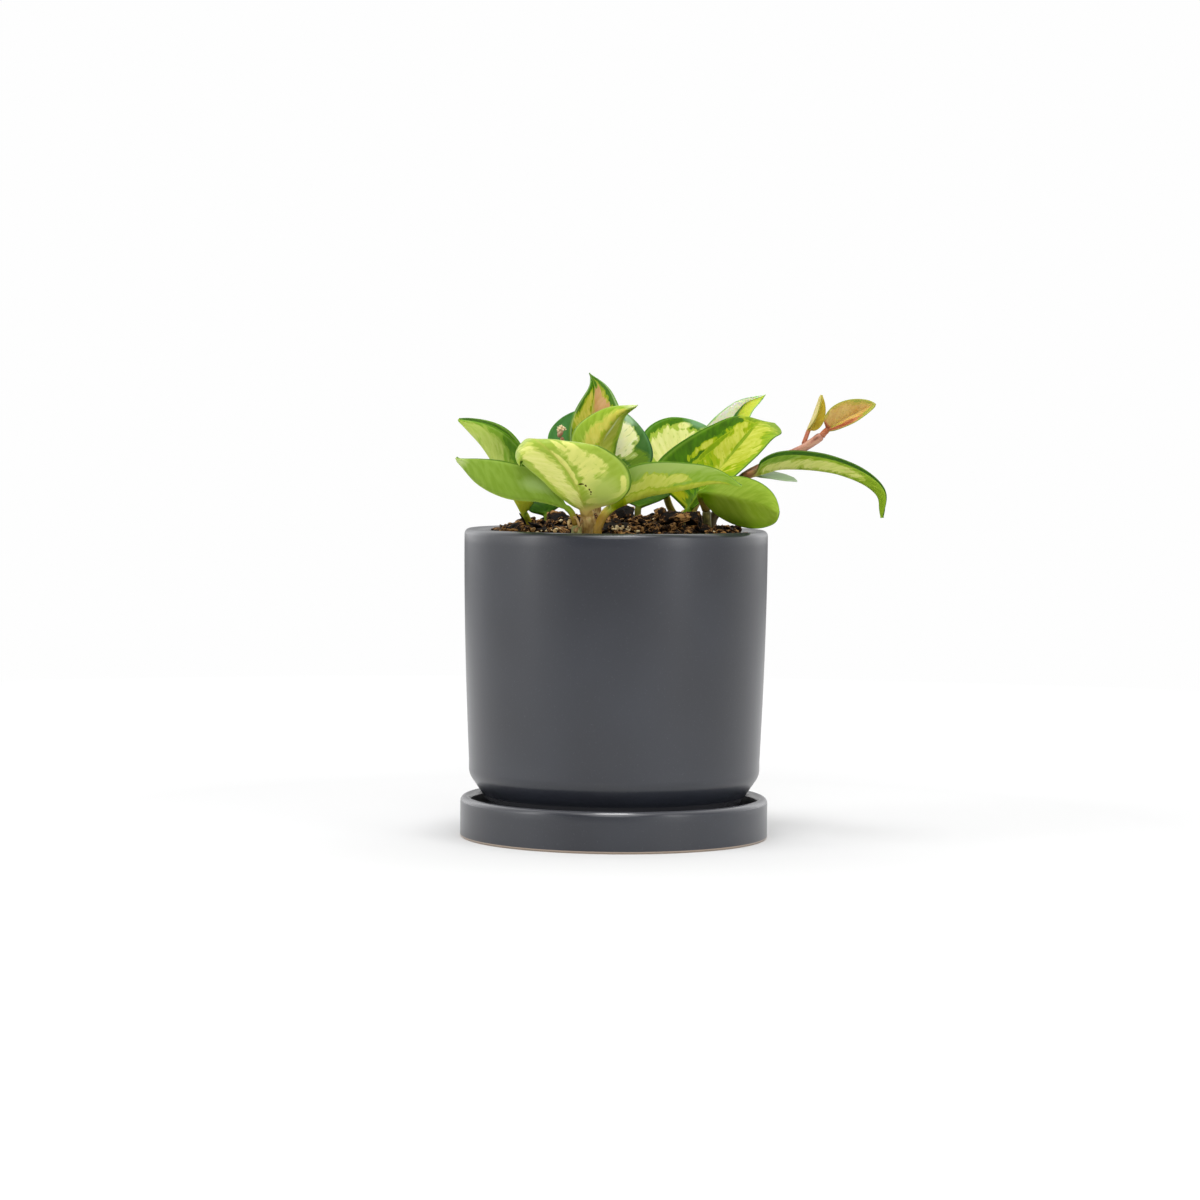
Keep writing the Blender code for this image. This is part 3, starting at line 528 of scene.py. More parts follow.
for stem_name in STEMS:
    stem_finish = {"vine": flushed, "stem_left": green_nub, "stem_right": shaded,
                   "stem_mid_right": shaded}.get(stem_name, woody)
    sleeve = [mm(*point) for point in STEMS[stem_name].get("sleeve", ())]
    skin = round_skin(stem_path(stem_name) + sleeve, stem_radius(stem_name), rough=0.1 * MM)
    finished(stem_name + "_bark", skin, stem_finish, [stem_name])
print("stems:", len(STEMS))

# %% [markdown]
# ## Leaves
#
# A wax plant leaf is as thick as a coin and folds along its rib like a shallow boat. Each
# leaf below is its rib's curve, and for each half how far and in which direction the margin
# reaches, at the base and at the tip. A fullness curve makes both halves swell from nothing
# at the base to their widest place and back to a point. The same numbers made the solids, so
# the fine skin lies exactly where the solid lies.

# %% Leaf shapes
LEAVES = {
    "leaf_left_high": dict(
        seat=None, petiole=1.6,
        stalk=[(-37, -5.6, 131.5)],
        rib=[(-38, -7.6, 134.6), (-41, -12, 141), (-46.6, -18, 150.4), (-55.6, -22, 164.6),
             (-65.4, -20, 174.6)],
        left=((18, -15, -2), (4, -18, 11)), right=((9, 9, 9.8), (10, 10, 6)),
        bend=(12, 10), widest=(0.5, 0.55), tip=(1.3, 0.75)),
    "leaf_left_low": dict(
        seat=("stem_left", None), petiole=1.3,
        stalk=[],
        rib=[(-19.6, -47.6, 138.6), (-30, -52, 142.4), (-44.6, -52, 143.8), (-55.6, -46, 149),
             (-65.6, -36, 158.8)],
        left=((3, -4, 14.5), (5, -8, 11)), right=((-6, 14, 6), (14, 10, 2)),
        bend=(10, 10), widest=(0.48, 0.5), tip=(1.2, 1.1)),
    "leaf_front": dict(
        seat=("stem_front", None), petiole=2.6,
        stalk=[],
        rib=[(-12.4, -45, 138), (-15.5, -56, 146), (-20, -65, 155), (-26, -71, 161.6),
             (-31.8, -72, 165.7), (-36.4, -65, 166.2), (-38.8, -57, 163.4)],
        left=((26.5, -9, 0.5), (22, 6, 0)), right=((-9.6, 0, -7), (-12.8, -2, -9.6)),
        bend=(5, 62), widest=(0.5, 0.52), tip=(0.55, 0.72)),
    "leaf_top": dict(
        seat=("stem_middle", (-8, 4, 137)), petiole=1.5,
        stalk=[(-8.4, 11.5, 141)],
        rib=[(-9, 15, 145), (-11, 17, 155), (-11.5, 21, 166), (-11, 24, 178), (-10, 27, 188),
             (-12, 29, 194.5)],
        left=((-9, -14, 2), (-10, -13, 2)), right=((15.5, -8, 4), (15.5, -9, 2)),
        bend=(5, 5), widest=(0.4, 0.4), tip=(1.5, 1.0)),
    "leaf_tip_right": dict(
        seat=("stem_middle", (-8, 4, 139)), petiole=1.5,
        stalk=[(-9, -3, 144.5)],
        rib=[(-9.5, -6, 149), (-9, -8, 158), (-7, -9, 166), (-3, -9.5, 172.5), (1.5, -10, 178),
             (8.5, -10, 181)],
        left=((11.5, 8, 0), (2, 10, -3.5)), right=((-12.5, 7, 5), (-9.5, 7, 4)),
        bend=(5, 5), widest=(0.45, 0.42), tip=(0.9, 1.0)),
    "leaf_dark_left": dict(
        seat=("stem_back_left", None), petiole=1.4,
        stalk=[],
        rib=[(-13, 30, 150), (-15.5, 33, 158), (-17.5, 38, 168), (-15, 42, 179)],
        left=((-13.2, -2, -3), (-12, 0, 3)), right=((10, -6, 5), (9, -10, 0)),
        bend=(5, 5), widest=(0.5, 0.5), tip=(0.8, 0.8)),
    "leaf_cream_right": dict(
        seat=("stem_middle", (-8.1, 4, 140)), petiole=1.4,
        stalk=[(-3.6, 7, 144.4)],
        rib=[(-2, 8, 149), (-1.5, 8, 157), (-0.5, 8, 168), (2.5, 10, 178.5)],
        left=((-14, -8, 0), (-12, -7, 4)), right=((17, -3, 0), (16, -3, -4)),
        bend=(5, 5), widest=(0.42, 0.42), tip=(0.8, 0.8)),
    "leaf_cream_back": dict(
        seat=("stem_back", (29, 19, 130.6)), petiole=1.5,
        stalk=[(23.4, 19.4, 136.6)],
        rib=[(21, 22, 144), (22.4, 28, 153), (25.6, 36, 161), (31.6, 44, 168), (39, 52, 172)],
        left=((-17, -2, 10), (-10, -6, 9)), right=((8, -5, -6), (8, -4, -4)),
        bend=(5, 5), widest=(0.5, 0.5), tip=(0.6, 0.6)),
    "leaf_white_tip": dict(
        seat=("stem_back", (29, 19, 130.6)), petiole=1.5,
        stalk=[(33, 21, 137.5)],
        rib=[(37, 26, 146), (42, 29, 157), (47, 33, 168), (52, 35, 178), (56, 35.5, 183),
             (63.3, 34, 186)],
        left=((-13, -8, 5.5), (-7, -6, 2.5)), right=((5, -11, 1), (5.5, -9, -8)),
        bend=(5, 5), widest=(0.42, 0.45), tip=(1.2, 1.0)),
    "leaf_yellow_right": dict(
        seat=("stem_mid_right", None), petiole=1.6,
        stalk=[],
        rib=[(29.8, -6, 137), (34.6, -1, 144), (42.6, 4, 153.5), (52.6, 12, 165.6), (59.6, 21, 173.2),
             (67, 30, 173.4)],
        left=((-23.6, 0, 14.4), (-10, -4, 2.4)), right=((1.3, -13.7, -3.4), (9.5, -9, -8)),
        bend=(5, 5), widest=(0.4, 0.55), tip=(0.42, 0.42)),
    "leaf_long_front": dict(
        seat=None, petiole=1.8,
        stalk=[(-7.6, -48.6, 128.4), (-7.3, -48.4, 131.6)],
        rib=[(-3, -45.6, 138.4), (10, -49.4, 144.3), (29, -55, 148.1), (41, -58, 150.5),
             (50.2, -60, 148.8)],
        left=((4, 14, 12.6), (3, 14, 4)), right=((-7, -7, 11.5), (-2, -8, 11)),
        bend=(8, 8), widest=(0.4, 0.38), tip=(0.9, 0.95)),
    "leaf_oval_low": dict(
        seat=("stem_right", None), petiole=1.8,
        stalk=[],
        rib=[(35.2, -16, 144.6), (43, -24, 144.4), (53, -33, 142.4), (61, -40, 140.4),
             (66, -45, 138)],
        left=((0, 8, -13), (2.4, 8, -11.6)), right=((2, 0, 9.5), (4, -3, 8)),
        bend=(5, 5), widest=(0.52, 0.5), tip=(0.6, 0.75)),
    "leaf_arching": dict(
        seat=("vine", (53, 3, 151)), petiole=1.5,
        stalk=[],
        rib=[(57.4, -3.6, 153), (68, -7, 156), (84, -11, 155.6), (99, -15, 151.8),
             (108.6, -17, 145), (110, -17, 135.2)],
        left=((-2, 5, 8.4), (7, 2, 2.6)), right=((-2, -6, 6.4), (6, -3, 1.4)),
        bend=(5, 5), widest=(0.4, 0.4), tip=(0.85, 0.85)),
    "leaf_grey_narrow": dict(
        seat=("vine", (53, 3, 151)), petiole=1.3,
        stalk=[],
        rib=[(57.6, 10, 152.4), (64, 18, 152.6), (71, 29, 151.8), (76, 40, 150)],
        left=((-6, 6, 1.4), (-6, 4, 1.6)), right=((5, -6, -3), (5, -5, -3)),
        bend=(5, 5), widest=(0.5, 0.45), tip=(0.5, 0.55)),
    "leaf_young_pink": dict(
        seat=("vine", None), petiole=1.3,
        stalk=[],
        rib=[(87.8, 3.8, 171), (93.4, 3, 174.6), (100.6, 2, 178.5), (108, 0, 182.3)],
        left=((-5, -2, 6), (-3, -2, 7)), right=((1, -6.5, -3), (1, -6, -3)),
        bend=(5, 5), widest=(0.42, 0.5), tip=(0.75, 0.75)),
    "leaf_young_small": dict(
        seat=("vine", (77.6, 4, 163.4)), petiole=0.9,
        stalk=[],
        rib=[(80.4, 7, 171), (82.4, 7.4, 175.4), (84, 8, 179.8), (85.8, 8, 186)],
        left=((0.5, -4, 1), (0.5, -4, -1)), right=((4, 2, -2), (4, 2, -1)),
        bend=(5, 5), widest=(0.4, 0.4), tip=(0.8, 0.8)),
    "leaf_low_middle": dict(
        seat=None, petiole=1.4,
        stalk=[(9, 6, 132.6)],
        rib=[(9.2, 6.6, 138), (11.5, 9, 141), (15, 14, 144), (19, 20, 147)],
        left=((-9, 0, 2), (-8, 2, 3)), right=((13, 0, 2.5), (11, -2, 2)),
        bend=(5, 5), widest=(0.4, 0.4), tip=(0.5, 0.5)),
    "leaf_low_left_dark": dict(
        seat=None, petiole=1.4,
        stalk=[(-29, 4.6, 132.4)],
        rib=[(-29.4, 6, 134.4), (-31, 10, 138.4), (-34, 20, 142), (-38, 31, 146.4), (-42, 42, 149)],
        left=((-9, -3, -1.5), (-11, -6, 2)), right=((10, -1, 3), (12, 4, 6)),
        bend=(5, 5), widest=(0.42, 0.42), tip=(0.45, 0.45)),
    "leaf_back": dict(
        seat=("stem_back_left", (-11.2, 27.3, 138)), petiole=1.4,
        stalk=[],
        rib=[(-5, 34, 145), (-3, 40, 152), (0, 48, 159), (4, 55, 162)],
        left=((-8, 7, 5), (-8, 7, 5)), right=((9, -3, 5), (9, -3, 5)),
        bend=(5, 5), widest=(0.45, 0.45), tip=(0.8, 0.8)),
}

# %% [markdown]
# The blade is one skin that runs over the upper face, round one margin and back under the
# lower face, so its edge is softly rounded as a fleshy leaf's is. The columns crowd towards
# the margins, where it curves most. A shallow groove follows the rib above and a low ridge
# below, and a slow noise keeps the faces from looking pressed out of a mould.

# %% Leaf skin
RIB_THICKNESS = 1.5 * MM
MARGIN_THICKNESS = 0.85 * MM
TIP_HALF_WIDTH = 0.4 * MM
PETIOLE_BLEND = 0.06
LEAF_COLUMNS = 48
BLADE_ROWS = 64
RIB_GROOVE = 0.4 * MM
RIB_RIDGE = 0.45 * MM
FACE_WAVE = 0.35 * MM


def smoothstep(value):
    """0 below 0, 1 above 1 and an S curve between."""
    value = min(1.0, max(0.0, value))
    return value * value * (3 - 2 * value)


def stem_radius_near(name, point):
    """A stem's radius at its nearest point, and its direction there."""
    path = stem_path(name)
    run = distances(path)
    nearest = min(range(len(path)), key=lambda i: (path[i] - point).length)
    first, last = (value * MM for value in STEMS[name]["radius"])
    way = at_distance(path, run, run[nearest])[1]
    return first + (last - first) * run[nearest] / run[-1], way


def petiole_start(leaf, toward):
    """First points of a leaf's path: down in the mix, on its stem's end or off its side."""
    radius = leaf["petiole"] * MM
    if leaf["seat"] is None:
        top = mm(*leaf["stalk"][0])
        foot = Vector((top.x, top.y, BURIED_END))
        return [foot, (foot + top) / 2]
    stem, point = leaf["seat"]
    if point is None:
        path = stem_path(stem)
        stem_way = (path[-1] - path[-2]).normalized()
        start = path[-1]
        for _ in range(4):
            lean = (toward - start).normalized().cross(stem_way).length
            start = path[-1] + stem_way * (radius * lean - SEAT_SINK)
        return [start]
    point = mm(*point)
    stem_size, stem_way = stem_radius_near(stem, point)
    way = (toward - point).normalized()
    cosine = abs(way.dot(stem_way))
    sine = math.sqrt(1 - cosine ** 2)
    return [point + way * ((stem_size - SEAT_SINK + radius * cosine) / sine)]


def fullness(u, widest, tip):
    """A half's share of its greatest width at u, from 0 at the base to 1 at the tip."""
    base = tip * widest / (1 - widest)
    return (u / widest) ** base * ((1 - u) / (1 - widest)) ** tip


def half_reach(leaf, which, u):
    """Direction and width of one half at u, and how far it bends."""
    base, end = (mm(*reach) for reach in leaf["right" if which else "left"])
    reach = base.lerp(end, u)
    width = reach.length * fullness(u, leaf["widest"][which], leaf["tip"][which])
    return reach.normalized(), max(width, TIP_HALF_WIDTH), math.radians(leaf["bend"][which])


def around_leaf(columns):
    """(across from -1 to 1, above or below the middle from 1 to -1, UV) round the leaf."""
    stops = []
    for column in range(columns + 1):
        angle = math.tau * column / columns
        across = -math.cos(angle)
        flat = (across + 1) / 2
        stops.append((across, math.sin(angle), flat if angle <= math.pi else 2 - flat))
    return stops


AROUND = around_leaf(LEAF_COLUMNS)


def blade_ring(leaf, centre, way, u, length, seed):
    """Points round the blade at u."""
    halves = [half_reach(leaf, which, u) for which in (0, 1)]
    faces = [way.cross(halves[0][0]).normalized(), halves[1][0].cross(way).normalized()]
    rib_normal = (faces[0] + faces[1]).normalized()
    ring = []
    for across, level, _ in AROUND:
        which = 0 if across < 0 else 1
        share = abs(across)
        reach, width, bend = halves[which]
        angle = bend * share
        normal = faces[which] * math.cos(angle) - reach * math.sin(angle)
        normal = rib_normal.lerp(normal, smoothstep(share * width / (1.2 * MM))).normalized()
        thickness = RIB_THICKNESS + (MARGIN_THICKNESS - RIB_THICKNESS) * share
        thickness *= min(1.0, 0.45 + 0.55 * width / (4 * TIP_HALF_WIDTH))
        if normal.dot(faces[which]) < 0.98:
            thickness /= max(0.6, normal.dot(faces[which]))
        point = centre + reach * (width * math.sin(angle) / bend)
        point += faces[which] * (width * (1 - math.cos(angle)) / bend)
        rise = thickness / 2 * math.copysign((1 - share ** 6) ** 0.5, level) if level else 0.0
        near_rib = math.exp(-(share * width / (0.8 * MM)) ** 2) * (1 - u)
        fold = -RIB_GROOVE * near_rib if level > 0 else -RIB_RIDGE * near_rib
        fold *= smoothstep(width / (4 * MM))
        spot = Vector((u * length / (11 * MM) + seed, across * width / (7 * MM), seed * 1.7))
        wave = FACE_WAVE * noise.noise(spot) * smoothstep(width / (5 * MM))
        ring.append(point + normal * (rise + fold + wave))
    return ring


def petiole_ring(leaf, centre, way, share):
    """Points round the petiole, matched to the blade's columns; it flares at its foot."""
    radius = leaf["petiole"] * MM * (1 + FOOT_FLARE * (1 - share) ** 3)
    left = mm(*leaf["left"][0]).normalized()
    right = mm(*leaf["right"][0]).normalized()
    side = right - left
    side = (side - way * side.dot(way)).normalized()
    up = side.cross(way)
    return [centre + (side * across + up * level) * radius for across, level, _ in AROUND]


def leaf_skin(leaf, seed):
    """The closed skin of a petiole and its blade, with its length and width in millimetres."""
    rib = [mm(*point) for point in leaf["rib"]]
    stalk = [mm(*point) for point in leaf["stalk"]]
    beginning = petiole_start(leaf, (stalk + rib)[0])
    path = smooth_path(beginning + stalk + rib)
    run = distances(path)
    start = run[PATH_STEPS * len(beginning + stalk)]
    length = run[-1] - start
    petiole_rows = max(4, round(start / (1.2 * MM)))
    stops = [start * i / petiole_rows for i in range(petiole_rows)]
    stops += [start + length * (1 - math.cos(math.pi * i / BLADE_ROWS)) / 2
              for i in range(BLADE_ROWS + 1)]
    rings = []
    for stop in stops:
        centre, way = at_distance(path, run, stop)
        u = (stop - start) / length
        points = petiole_ring(leaf, centre, way, min(1.0, stop / start))
        if u > 0:
            blade = blade_ring(leaf, centre, way, min(u, 1.0), length, seed)
            share = smoothstep(u / PETIOLE_BLEND)
            points = [a.lerp(b, share) for a, b in zip(points, blade)]
        rings.append([(point, (lay, u)) for point, (_, _, lay) in zip(points, AROUND)])
    width = sum(mm(*leaf[side][0]).length for side in ("left", "right")) / 2
    return rolled_skin(LEAF_COLUMNS, rings, "Leaf"), length / MM, width / MM


# %% [markdown]
# ## How a variegated leaf is coloured
#
# The markings are patches without green cells. Their edges are torn into strokes that run
# with the side veins, outwards and forwards from the rib. So the pattern is drawn in the
# leaf's own flat lay, the UV map: a few soft ovals say where a patch lies, and a noise that
# is stretched along the veins tears their edges. A second, wider band round each patch is the
# half-tone that the eye sees between cream and green. The lower face is paler and duller than
# the upper one. Along the margin of both faces a thin dark line is painted shade, and a pale
# line beside it is a painted highlight, as on a rounded edge turning from the light.

# %% Leaf finish
VEIN_ANGLE = math.radians(48)
STROKE_MM = (2.0, 9.0)
FLECK_MM = (0.8, 4.0)
BLOTCH_MM = 6.0


def vein_noise(tree, lane, size, seed, detail):
    """A noise stretched along the side veins."""
    scaled = add(tree, "VectorMath", {0: lane}, {1: (1 / size[0], 1 / size[1], 4.0)},
                 operation="MULTIPLY")
    moved = add(tree, "VectorMath", {0: scaled}, {1: (seed, seed * 2.3, 0.0)}, operation="ADD")
    return add(tree, "TexNoise", {"Vector": moved}, {"Scale": 1.0, "Detail": detail, "Roughness": 0.5})


def leaf_lay(tree, length, width, seed):
    """Numbers of the leaf's flat lay, and the noises that tear its patches."""
    uv = add(tree, "SeparateXYZ", {"Vector": add(tree, "UVMap", uv_map="Leaf")}).node.outputs
    across = number(tree, "MULTIPLY_ADD", number(tree, "PINGPONG", uv["X"], 1.0), 2.0, -1.0)
    from_rib = number(tree, "ABSOLUTE", across)
    along_mm = number(tree, "MULTIPLY", uv["Y"], length)
    out_mm = number(tree, "MULTIPLY", from_rib, width)
    sine, cosine = math.sin(VEIN_ANGLE), math.cos(VEIN_ANGLE)
    over_vein = number(tree, "SUBTRACT", number(tree, "MULTIPLY", along_mm, sine),
                       number(tree, "MULTIPLY", out_mm, cosine))
    on_vein = number(tree, "ADD", number(tree, "MULTIPLY", along_mm, cosine),
                     number(tree, "MULTIPLY", out_mm, sine))
    lane = add(tree, "CombineXYZ", {"X": over_vein, "Y": on_vein,
                                    "Z": number(tree, "SIGN", across)})
    strokes = vein_noise(tree, lane, STROKE_MM, seed, 2.0)
    channels = add(tree, "SeparateColor", {"Color": strokes.node.outputs["Color"]}).node.outputs
    flat = add(tree, "CombineXYZ", {"X": number(tree, "MULTIPLY", across, width), "Y": along_mm},
               {"Z": seed})
    return dict(across=across, from_rib=from_rib, along=uv["Y"],
                under=number(tree, "GREATER_THAN", uv["X"], 1.0), strokes=strokes,
                torn_by=[channels[name] for name in ("Red", "Green", "Blue")],
                flecks=vein_noise(tree, lane, FLECK_MM, seed + 9, 2.0),
                blotch=add(tree, "TexNoise", {"Vector": flat}, {"Scale": 1 / BLOTCH_MM, "Detail": 1.0}))


def oval_field(tree, lay, ovals):
    """Below 0 inside any of the ovals (across, along, half width, half length), above outside."""
    spot = add(tree, "CombineXYZ", {"X": lay["across"], "Y": lay["along"]})
    field = None
    for across, along, half_width, half_length in ovals:
        shifted = add(tree, "VectorMath", {0: spot}, {1: (across, along, 0)}, operation="SUBTRACT")
        squeezed = add(tree, "VectorMath", {0: shifted},
                       {1: (1 / half_width, 1 / half_length, 0)}, operation="MULTIPLY")
        reach = add(tree, "VectorMath", {0: squeezed}, operation="LENGTH").node.outputs["Value"]
        field = reach if field is None else number(tree, "SMOOTH_MIN", field, reach, 0.2)
    return number(tree, "SUBTRACT", field, 1.0)


def paint_face(tree, lay, look):
    """Colour of one face: its green, and its patches one over the other."""
    wash = remap(tree, lay["strokes"], 0.38, 0.62)
    colour = blend(tree, wash, look["green"], look["shade"])
    for index, layer in enumerate(look["layers"]):
        field = oval_field(tree, lay, layer["ovals"])
        push = number(tree, "MULTIPLY_ADD", lay["torn_by"][index % 3], 2.6, -1.3)
        slow = number(tree, "MULTIPLY_ADD", lay["blotch"], 1.6, -0.8)
        tear = number(tree, "MULTIPLY", number(tree, "ADD", push, slow), layer["tear"])
        torn = number(tree, "ADD", field, tear)
        soft = layer["soft"]
        if layer["half"]:
            halo = remap(tree, torn, layer["halo"] + soft, layer["halo"] - soft)
            colour = blend(tree, halo, colour, layer["half"])
        inside = remap(tree, torn, soft, -soft)
        fill = blend(tree, wash, layer["colour"], layer["shade"])
        if layer["half"]:
            speck = remap(tree, lay["flecks"], 0.6, 0.66, 0.0, 0.55)
            fill = blend(tree, speck, fill, layer["half"])
        colour = blend(tree, inside, colour, fill)
    return colour


def leaf_finish(name, look, length, width, seed):
    """The waxy, variegated finish of one leaf."""
    material, tree, shader = new_finish(name)
    lay = leaf_lay(tree, length, width, seed)
    seen = paint_face(tree, lay, look)
    if isinstance(look["other"], dict):
        hidden = add(tree, "HueSaturation", {"Color": seen}, look["other"])
    else:
        hidden = blend(tree, remap(tree, lay["strokes"], 0.38, 0.62), *look["other"])
    faces = (hidden, seen) if look["seen"] == "under" else (seen, hidden)
    colour = blend(tree, lay["under"], *faces)
    bands = [(lay["from_rib"], 0.045, 0.0, 0.5, look["vein"]),
             # The rim band is a pale line of painted highlight inside the margin, and the edge band a thin dark
             # line of painted shade on it.
             (lay["from_rib"], 0.88, 0.94, 0.4, look["rim"]),
             (lay["from_rib"], 0.945, 0.975, 0.9, look["edge"]),
             (lay["along"], look["neck"], look["neck"] - 0.08, 1.0, look["petiole"]),
             (lay["along"], look["neck"] - 0.06, look["neck"] - 0.14, 1.0, look["root"])]
    for source, start, end, strength, tint in bands:
        colour = blend(tree, remap(tree, source, start, end, 0.0, strength), colour, tint)
    if "marks" in look:
        marks = oval_field(tree, lay, look["marks"])
        marks = number(tree, "ADD", marks, number(tree, "MULTIPLY_ADD", lay["flecks"], 1.2, -0.6))
        brown = number(tree, "MULTIPLY", remap(tree, marks, 0.1, -0.1), lay["under"])
        colour = blend(tree, brown, colour, "#3A3008")
    deeper = add(tree, "HueSaturation", {"Color": colour}, {"Saturation": 1.07, "Value": 1.0})
    tree.links.new(deeper, shader.inputs["Base Color"])
    wax = 0.6 - 1.2 * look["gloss"]
    tree.links.new(remap(tree, lay["strokes"], 0.3, 0.7, wax, wax + 0.12), shader.inputs["Roughness"])
    relief = number(tree, "ADD", lay["flecks"], lay["blotch"])
    bump = add(tree, "Bump", {"Height": relief}, {"Strength": 0.3, "Distance": 0.25 * MM})
    tree.links.new(bump, shader.inputs["Normal"])
    shader.inputs["Specular IOR Level"].default_value = look["gloss"]
    shader.inputs["Subsurface Weight"].default_value = look["through"]
    shader.inputs["Subsurface Radius"].default_value = (0.8, 1.0, 0.5)
    shader.inputs["Subsurface Scale"].default_value = 1.5 * MM
    return material


def patch(colour, shade, half, ovals, tear=0.8, halo=0.3, soft=0.05):
    """One layer of markings."""
    return dict(colour=colour, shade=shade, half=half, ovals=ovals, tear=tear, halo=halo, soft=soft)


def sheen_shade_and_tone(colour, ovals):
    """A soft change of tone without an edge: on some leaves a painted sheen, highlight or shade, on others their
    own paler or darker tone.
    """
    return patch(colour, colour, None, ovals, tear=0.3, soft=0.5)


# edge and rim are the colours of the painted shade line and the painted highlight line along the margin.
def look(seen, green, shade, layers, other, edge="#4F7C1C", rim="#A9BE66", vein="#A9BA5C",
         petiole="#8E9B3A", root="#8A7A34", gloss=0.2, neck=0.05, through=0.3,
         marks=None):
    """Everything that the finish of one leaf needs."""
    made = dict(seen=seen, green=green, shade=shade, layers=layers, other=other, edge=edge,
                rim=rim, vein=vein, petiole=petiole, root=root, gloss=gloss,
                neck=neck, through=through)
    if marks:
        made["marks"] = marks
    return made


PALER = {"Hue": 0.5, "Saturation": 0.8, "Value": 1.12}
DARK_UPPER = ("#355606", "#406A0C")

# %% [markdown]
# Each leaf of the photograph has its own markings. The ovals below are placed across the
# leaf from -1 at the left margin to 1 at the right one, and along it from 0 at the base to 1
# at the tip.

